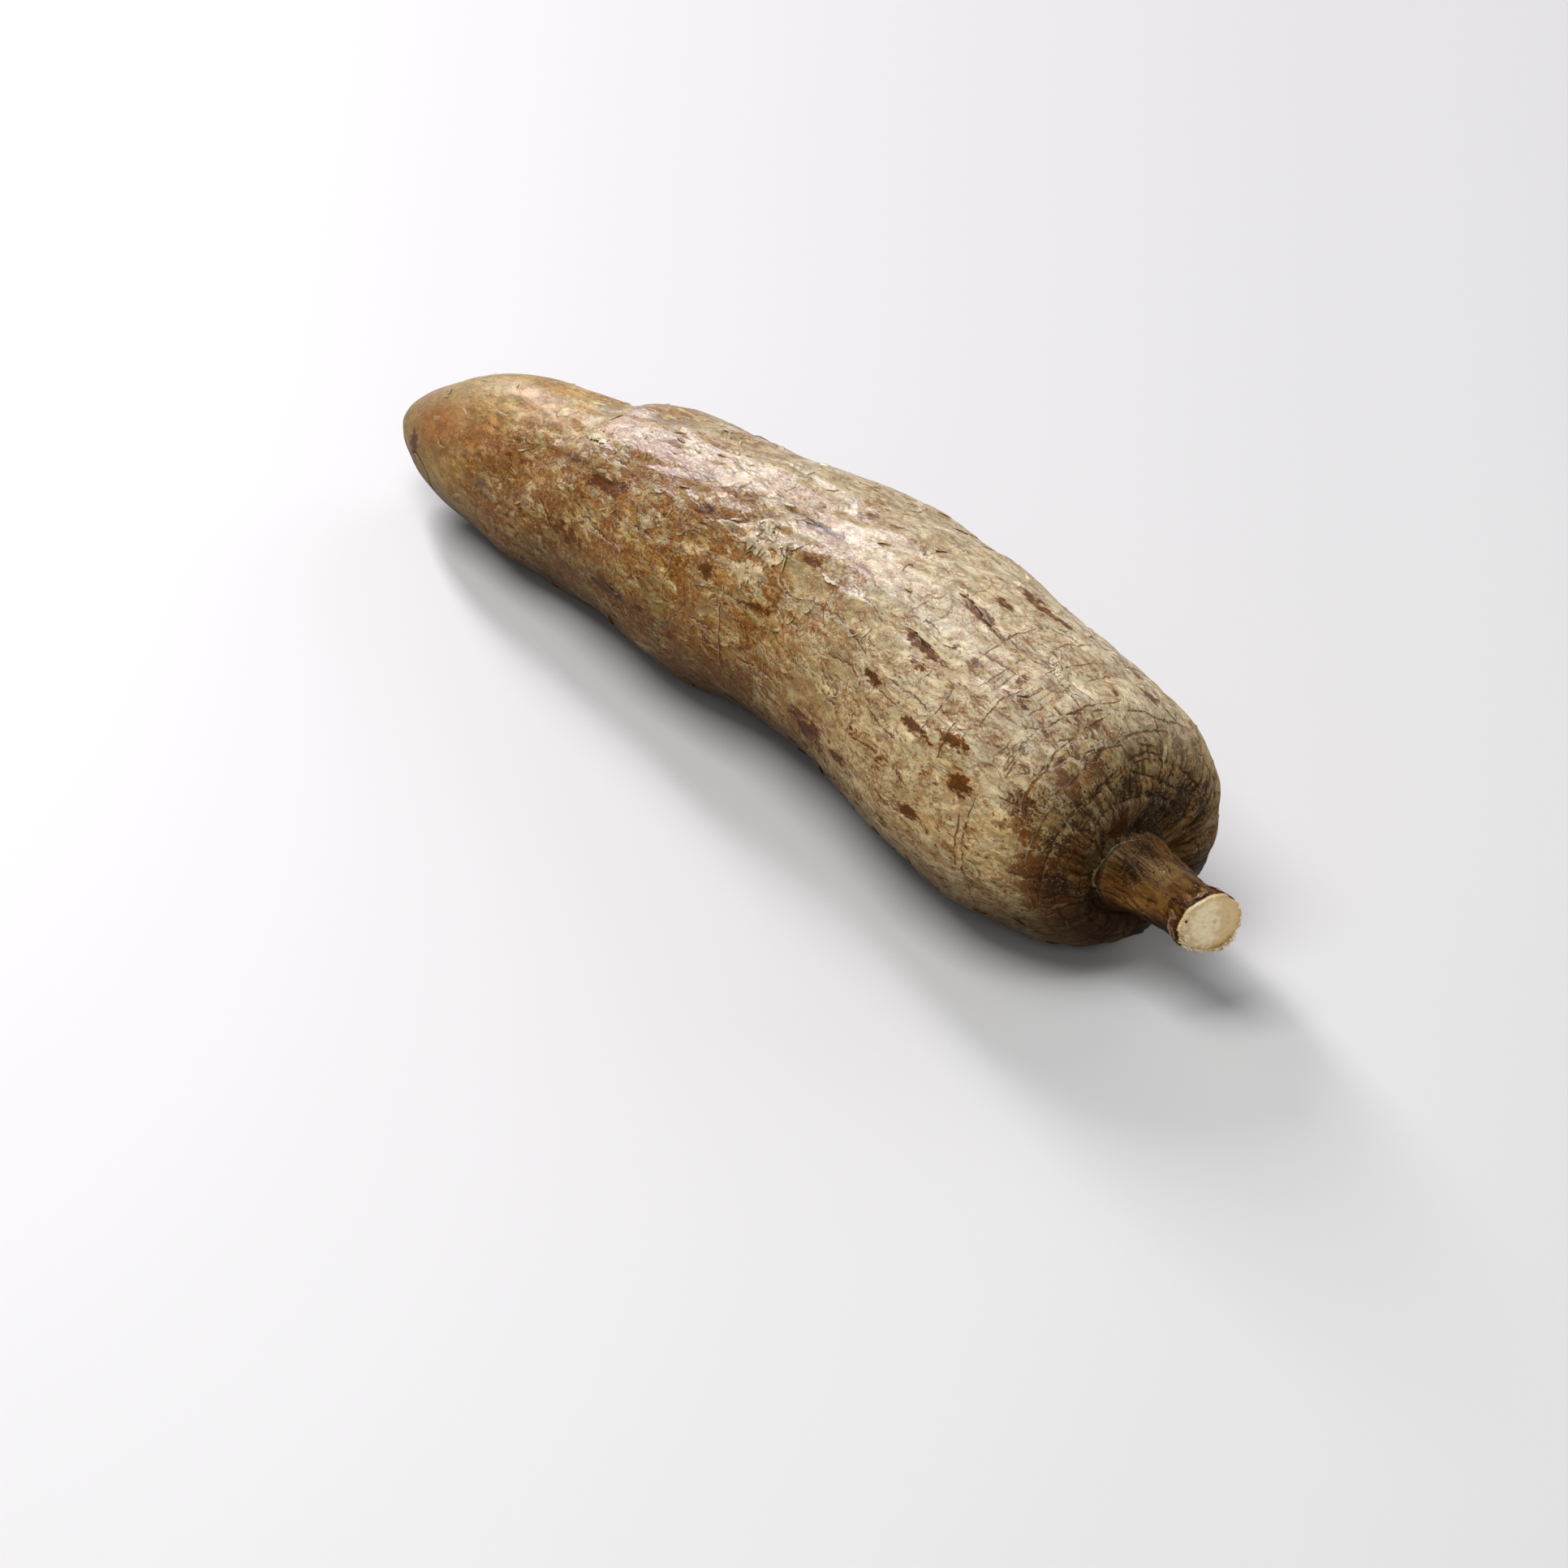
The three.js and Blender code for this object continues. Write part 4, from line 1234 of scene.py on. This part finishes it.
def read_skin(grid, reaches, turns):
    """Reads a grid of the skin at any reach and turn, between the four nearest points."""
    row = np.interp(reaches, rows, np.arange(len(rows)))
    column = (turns + math.pi) / FULL_TURN * COLUMNS
    row_low = np.minimum(row.astype(int), len(rows) - 2)
    column_low = np.floor(column).astype(int)
    row_share, column_share = row - row_low, column - column_low
    if grid.ndim == 3:
        row_share, column_share = row_share[..., None], column_share[..., None]
    ends = [grid[row_low + step, column_low % COLUMNS] * (1 - column_share)
            + grid[row_low + step, (column_low + 1) % COLUMNS] * column_share for step in (0, 1)]
    return ends[0] * (1 - row_share) + ends[1] * row_share


def on_skin(reaches, turns, lift):
    """Points lifted off the skin by a number of mm. Past the last row they run on along the cut's normal."""
    reaches, turns, lift = np.broadcast_arrays(*(np.asarray(part, float) for part in (reaches, turns, lift)))
    beyond = np.maximum(reaches - FULL_REACH, 0)[..., None] * CUT_NORMAL
    raised = read_skin(outward, reaches, turns) * lift[..., None]
    points = read_skin(skin_points, reaches, turns) + raised + beyond
    points[..., 2] = np.maximum(points[..., 2], 0)
    return points


print("outward at the crown:", np.round(outward[len(rows) // 2, COLUMNS * 3 // 4], 2))


# %% Lay thin closed sheets
class Sheets:
    """Collects small closed sheets, which become one mesh."""

    def __init__(self):
        self.points, self.faces, self.places, self.count = [], [], [], 0

    def add(self, top, bottom, reaches, turns):
        """Closes a sheet between two grids of points. Rows run along the skin and columns round it."""
        size = top[..., 0].size
        index = np.arange(size).reshape(top.shape[:2]) + self.count
        corners = [index[:-1, :-1], index[:-1, 1:], index[1:, 1:], index[1:, :-1]]
        quads = np.stack(corners, axis=-1).reshape(-1, 4)
        backs = np.stack([corners[which] + size for which in (0, 3, 2, 1)], axis=-1).reshape(-1, 4)
        rim = [*index[0, :-1], *index[:-1, -1], *index[-1, :0:-1], *index[:0:-1, 0]]
        walls = [(b, a, a + size, b + size) for a, b in zip(rim, rim[1:] + rim[:1])]
        self.faces += quads.tolist() + backs.tolist() + walls
        self.points += [top.reshape(-1, 3), bottom.reshape(-1, 3)]
        self.places += [np.stack((reaches, turns), axis=-1).reshape(-1, 2)] * 2
        self.count += 2 * size

    def mesh(self, name):
        """One mesh of all the sheets. Each point takes the zones of the skin under it, and no lines."""
        made = bpy.data.meshes.new(name)
        made.from_pydata((np.vstack(self.points) * MM).tolist(), [], self.faces)
        reaches, turns = np.vstack(self.places).T
        no_line = {"side": FAR, "presence": 0.0}
        for field, values in FIELDS.items():
            plain = no_line.get(field.split("_")[-1])
            on_skin = read_skin(values, reaches, turns)
            store(made, field, on_skin if plain is None else np.full(len(reaches), plain))
        return made


LARGE_CRUMPLE = 0.05


def lay_sheet(sheets, reaches, turns, width, lift, thickness=0.14, low_side=-1, across=5, root=0.06,
              fray=0.18, crumple=0.03):
    """A strip of film along a line. One long edge stays in the skin and the other is lifted and curled."""
    local = np.maximum(5.0, np.interp(reaches, rows, SKIN_RADII))
    path = np.column_stack((reaches, np.asarray(turns) * local.mean()))
    ahead = np.gradient(path, axis=0)
    ahead /= np.maximum(np.linalg.norm(ahead, axis=1, keepdims=True), 1e-9)
    sideways = np.column_stack((-ahead[:, 1], ahead[:, 0]))
    share = np.linspace(0.04, 0.96, len(path))
    widths = width * np.sin(math.pi * share) ** 0.6 * (1 + fray * chance.normal(0, 1, len(path)))
    widths = np.maximum(widths, 0.12 * width)
    steps = np.linspace(-1, 1, across)
    place = path[:, None] + sideways[:, None] * (widths[:, None] * steps * 0.5)[..., None]
    free = (1 + steps * -low_side) / 2
    rise = lift * free[None, :] ** 1.7 * np.sin(math.pi * share)[:, None] ** 0.7
    rise = rise + crumple * chance.normal(0, 1, rise.shape) * free
    if crumple > LARGE_CRUMPLE:
        rise = rise + 8 * crumple * place_noise(np.dstack((place, 0 * rise)), (2.4, 1.5, 1), 61)
    turned_to = place[..., 1] / local.mean()
    thin = thickness * (1 - 0.5 * free ** 2)[None, :]
    under = rise + root - thin - 0.1 * (1 - free)
    sheets.add(on_skin(place[..., 0], turned_to, rise + root), on_skin(place[..., 0], turned_to, under),
               place[..., 0], turned_to)


def film_finish(name, pale, dark, roughness, coat):
    """Bark or fibre: two tones in lengthwise grain, with a little relief."""
    recipe = Recipe(name)
    grain = recipe.noise((3.0, 0.9, 0.9), detail=6, rough=0.7, shift=3)
    colour = recipe.mix(recipe.ease(grain, 0.4, 0.6), pale, dark)
    dots = recipe.ease(recipe.noise(0.8, detail=4, shift=12), 0.5, 0.66)
    return recipe.finish({
        "Base Color": recipe.over(colour, OCHRE, dots, 0.5),
        "Roughness": recipe.ease(grain, 0.3, 0.7, roughness - 0.1, roughness + 0.1),
        "Normal": recipe.bump(recipe.math("MULTIPLY", grain, 0.4)),
        "Coat Weight": coat,
        "Coat Roughness": 0.15,
    })


# %% [markdown]
# The largest flakes are listed one by one: a ragged white peel over the middle, and a curled strip
# beside it. Then come hundreds of small ones, mostly lengthwise, more of them on the mottled half.

# %% Lift the film in flakes
peels_and_glint, film = Sheets(), Sheets()
PEELS = [
    ([(-4, 122), (-2.5, 119.5), (-0.5, 121), (1.5, 124.5), (4.5, 126), (8, 126.5)], 1.5, 0.6, -1),
    ([(6, 126), (9.5, 127), (12, 130), (13.6, 133.5), (14.2, 137)], 1.3, 0.9, 1),
    ([(16, 138), (19, 140.6), (23, 141.4), (27, 140.5)], 0.8, 0.35, -1),
    ([(0, 157.8), (2.5, 157), (5, 157.6)], 1.0, 0.5, 1),
    ([(27, 161), (34, 162.4), (41, 162)], 0.8, 0.35, 1),
    ([(41, 163), (47, 165.4), (54, 163.5), (60, 160)], 1.1, 0.45, 1),
    ([(63, 119.6), (69, 118.4), (76, 118.8), (81, 120.5)], 1.2, 0.6, -1),
    ([(66, 95.5), (72, 94), (79, 95.8), (85, 97.5)], 0.9, 0.5, -1),
    ([(-84, 115.8), (-80, 114.6), (-75, 116), (-70, 118.8)], 1.6, 0.6, 1),
    ([(98.5, 87), (103, 89.8), (106.5, 93.8)], 1.3, 0.8, -1),
    ([(102.8, 108.5), (104.2, 111), (102.5, 113)], 1.0, 0.7, 1),
    ([(27, 127.5), (31, 128.5), (35, 128)], 1.0, 0.5, -1),
    ([(43, 153.5), (49, 156), (56, 154.8)], 0.8, 0.35, 1),
    ([(-36, 171), (-40, 171.5), (-43, 170)], 1.1, 0.4, 1),
    ([(-135, 113), (-130, 115.8), (-125, 117.4)], 0.7, 0.3, 1),
]
WIDE_PEEL = 1.25
for points, width, lift, low_side in PEELS:
    reaches, turns = curved(points, count=22, wobble=0.1, chance=chance)
    lay_sheet(peels_and_glint if width > WIDE_PEEL else film, reaches, turns, width, lift, low_side=low_side)

CRUMPLED = [
    ([(-4, 131), (1, 129), (7, 131), (12, 134)], 5.5), ([(-2, 143), (3, 145), (8, 142), (11, 139)], 5.0),
    ([(-3, 122), (0, 121), (4, 124)], 3.0), ([(40, 161), (47, 163), (54, 160)], 2.5),
    ([(97, 88), (103, 91), (108, 96)], 3.0), ([(-82, 116), (-76, 117), (-70, 120)], 3.0),
]
# Painted highlight: a thin whitish sheet along the visible part of the neck's foot stands for the pale glint
# line on its crease.
FOOT_GLINT = NECK_FOOT[:8]
reaches, turns = curved(FOOT_GLINT, count=60, wobble=0.05, chance=chance, find=float)
lay_sheet(peels_and_glint, reaches, turns, 0.34, 0.14, low_side=1, across=4, root=0.02, fray=0.7)
for points, width in CRUMPLED:
    reaches, turns = curved(points, count=34, wobble=0.15, chance=chance)
    lay_sheet(peels_and_glint, reaches, turns, width, 0.15, across=19, fray=0.3, root=0.12, crumple=0.052)
FLAKES = 900
for _ in range(FLAKES):
    start = chance.uniform(14, SHOULDER_REACH - 6)
    start_turn = chance.uniform(-math.pi, math.pi)
    if chance.random() > 0.15 + 0.85 * ease(start, 55, 120):
        continue
    size = 0.9 + chance.gamma(1.6, 1.0)
    reaches, turns = wander(start, start_turn, chance.normal(0, 0.35), max(size, 2.0), 0.14)
    width = 0.35 + 0.16 * size * chance.uniform(0.6, 1.3)
    lift = chance.uniform(0.08, 0.35) * min(size, 3) / 2
    lay_sheet(film, np.array(reaches), turns, width, lift, thickness=0.1, low_side=chance.choice((-1, 1)),
              across=4)

finish_piece("white_peels_and_foot_glint", peels_and_glint.mesh("white_peels_and_foot_glint"), finish_skin("white_film_and_glint", pale=0.6))
finish_piece("lifted_film", film.mesh("lifted_film"), finish_skin("lifted_skin_film", pale=0.32))

# %% [markdown]
# Where the neck was cut, the blade left a pale, slightly domed face with growth rings round an
# off-centre pith. The bark stands round it as a torn collar, and pale fibres hang from its lower
# rim. A flat disc would do from afar, but a domed one with raised rings catches the light.

# %% Cut the neck's face
FACE_RINGS, FACE_SPOKES = 22, 96
FACE_SPREAD = 1.14
FACE_DOME = 0.42
CUT_SIDEWAYS = np.cross(CUT_NORMAL, (0, 0, 1.0))
CUT_SIDEWAYS /= np.linalg.norm(CUT_SIDEWAYS)
CUT_UP = np.cross(CUT_SIDEWAYS, CUT_NORMAL)
PITH = np.array((-0.9, 0.7))


def cut_face():
    angles = np.arange(FACE_SPOKES) * FULL_TURN / FACE_SPOKES
    rim = on_skin(FULL_REACH, angles, 0) - cut_centre
    flat = np.stack((rim @ CUT_SIDEWAYS, rim @ CUT_UP), axis=-1)
    share = np.linspace(0, 1, FACE_RINGS + 1)[1:, None, None]
    circle = np.stack((3 * np.cos(angles), 3 * np.sin(angles), 0 * angles), -1)
    ragged = 0.04 * place_noise(circle, 0.6, 5)
    face = flat[None] * share * FACE_SPREAD * (1 + ragged[None, :, None] * share)
    from_pith = np.linalg.norm(face - PITH, axis=-1)
    about_pith = np.arctan2(face[..., 1] - PITH[1], face[..., 0] - PITH[0])
    rings = 0.04 * np.sin(from_pith * 3.4 + 1.4 * np.sin(2 * about_pith) + 0.8 * np.sin(5 * about_pith))
    torn = 0.22 * place_noise(np.concatenate((face, 0 * face[..., :1]), -1), (1.2, 0.5, 1), 21)
    pith = -0.3 * np.exp(-(from_pith / 0.7) ** 2)
    rise = FACE_DOME + rings + torn * (1 - share[..., 0] ** 3) + pith - 0.32 * share[..., 0] ** 6
    front = cut_centre + face[..., :1] * CUT_SIDEWAYS + face[..., 1:] * CUT_UP + rise[..., None] * CUT_NORMAL
    back = cut_centre + face[-1][:, :1] * CUT_SIDEWAYS + face[-1][:, 1:] * CUT_UP - 0.6 * CUT_NORMAL
    middle = cut_centre + FACE_DOME * CUT_NORMAL
    points = np.vstack((middle, front.reshape(-1, 3), back, cut_centre - 0.6 * CUT_NORMAL))
    here = np.arange(FACE_SPOKES)
    after = (here + 1) % FACE_SPOKES
    faces = [(0, 1 + a, 1 + b) for a, b in zip(here, after)]
    for ring in range(FACE_RINGS):
        inner, outer = 1 + ring * FACE_SPOKES, 1 + (ring + 1) * FACE_SPOKES
        faces += [(inner + a, outer + a, outer + b, inner + b) for a, b in zip(here, after)]
    last = 1 + FACE_RINGS * FACE_SPOKES
    faces += [(last + FACE_SPOKES, last + b, last + a) for a, b in zip(here, after)]
    made = bpy.data.meshes.new("cut_face")
    made.from_pydata((points * MM).tolist(), [], faces)
    return made


def cut_finish():
    """Pale flesh with broken rings, tan and smooth on one side, flecked white on the other."""
    recipe = Recipe("cut_flesh")
    pith = cut_centre + PITH[0] * CUT_SIDEWAYS + PITH[1] * CUT_UP
    offset = recipe.vector("SUBTRACT", recipe.place, tuple(pith))
    from_pith = recipe.vector("LENGTH", recipe.vector("MULTIPLY", offset, (0.3, 1, 1)))
    wavy = recipe.math("MULTIPLY_ADD", recipe.noise(1.8, detail=3, shift=4), 0.9, from_pith)
    rings = recipe.math("MULTIPLY_ADD", recipe.math("SINE", recipe.math("MULTIPLY", wavy, 4.0)), 0.5, 0.5)
    broken = recipe.ease(recipe.noise(2.2, detail=4, shift=19), 0.42, 0.62)
    colour = recipe.over(paint("#ffecbb"), paint("#ddb46c"), rings, broken, 0.35)
    colour = recipe.over(colour, paint("#cfa866"), recipe.ease(from_pith, 4.6, 6.4, 0.0, 0.75))
    sideways = recipe.vector("DOT_PRODUCT", offset, tuple(-CUT_SIDEWAYS))
    sideways = recipe.math("MULTIPLY_ADD", recipe.noise(2.6, detail=5, shift=33), 9.0, sideways)
    tan_side = recipe.ease(sideways, 3.4, 5.4)
    colour = recipe.over(colour, paint("#d8ac62"), tan_side, 0.55)
    colour = recipe.over(colour, paint("#c29a58"), recipe.ease(from_pith, 0.3, 1.0, 0.4, 0.0))
    flecks = recipe.ease(recipe.noise(1.1, detail=6, shift=9), 0.48, 0.62)
    colour = recipe.over(colour, paint("#fff6dd"), flecks, recipe.math("SUBTRACT", 1.0, tan_side), 0.5)
    crumbs = recipe.math("MULTIPLY", recipe.noise(0.5, detail=4), 0.2)
    return recipe.finish({
        "Base Color": colour,
        "Roughness": recipe.ease(rings, 0.0, 1.0, 0.35, 0.55),
        "Normal": recipe.bump(recipe.math("MULTIPLY_ADD", rings, 0.06, crumbs)),
        "Coat Weight": 0.4,
        "Coat Roughness": 0.2,
    })


finish_piece("cut_face", cut_face(), cut_finish())

# %% Tear the bark collar
bark, fibres = Sheets(), Sheets()
BARK_PLATES = 12
for plate in range(BARK_PLATES):
    angle = (plate + chance.uniform(-0.3, 0.3)) * FULL_TURN / BARK_PLATES
    start = FULL_REACH - chance.uniform(3.0, 6.5)
    end = FULL_REACH - chance.uniform(1.0, 2.0)
    thick = 0.3 + 0.7 * math.cos((angle - math.radians(205)) / 2) ** 2
    reaches = np.linspace(start, end, 9)
    turns = angle + np.cumsum(chance.normal(0, 0.02, 9))
    width, lift = chance.uniform(0.8, 2.4), thick * chance.uniform(0.1, 0.6)
    lay_sheet(bark, reaches, turns, width, lift, thickness=0.3, low_side=chance.choice((-1, 1)),
              root=chance.uniform(0.0, 0.2), fray=0.3)
BARK_STRIPS = 7
for _ in range(BARK_STRIPS):
    angle = chance.uniform(0, FULL_TURN)
    angles = angle + np.linspace(0, chance.uniform(0.6, 1.3), 12)
    reaches = FULL_REACH - chance.uniform(1.8, 6.0) + np.cumsum(chance.normal(0, 0.12, 12))
    width, lift = chance.uniform(0.7, 1.3), chance.uniform(0.2, 0.5)
    lay_sheet(bark, reaches, angles, width, lift, thickness=0.3, low_side=chance.choice((-1, 1)),
              root=0.15, fray=0.3)
RIM_FIBRES = 70
for _ in range(RIM_FIBRES):
    angle = chance.normal(4.6, 0.75)
    start = FULL_REACH - chance.uniform(0.2, 1.4)
    reaches = np.linspace(start, FULL_REACH + chance.uniform(0.2, 1.1), 6)
    turns = angle + np.cumsum(chance.normal(0, 0.03, 6))
    width, lift = chance.uniform(0.15, 0.45), chance.uniform(0.0, 0.5)
    lay_sheet(fibres, reaches, turns, width, lift, low_side=chance.choice((-1, 1)), across=3,
              root=chance.uniform(0.2, 0.8), fray=0.1)
bark_finish = film_finish("neck_bark", paint("#8a5a26"), BROWN, roughness=0.4, coat=0.5)
finish_piece("torn_bark", bark.mesh("torn_bark"), bark_finish)
fibre_finish = film_finish("cut_fibre", paint("#f2e6c4"), paint("#d8bc84"), roughness=0.5, coat=0.3)
finish_piece("cut_fibres", fibres.mesh("cut_fibres"), fibre_finish)

# %% [markdown]
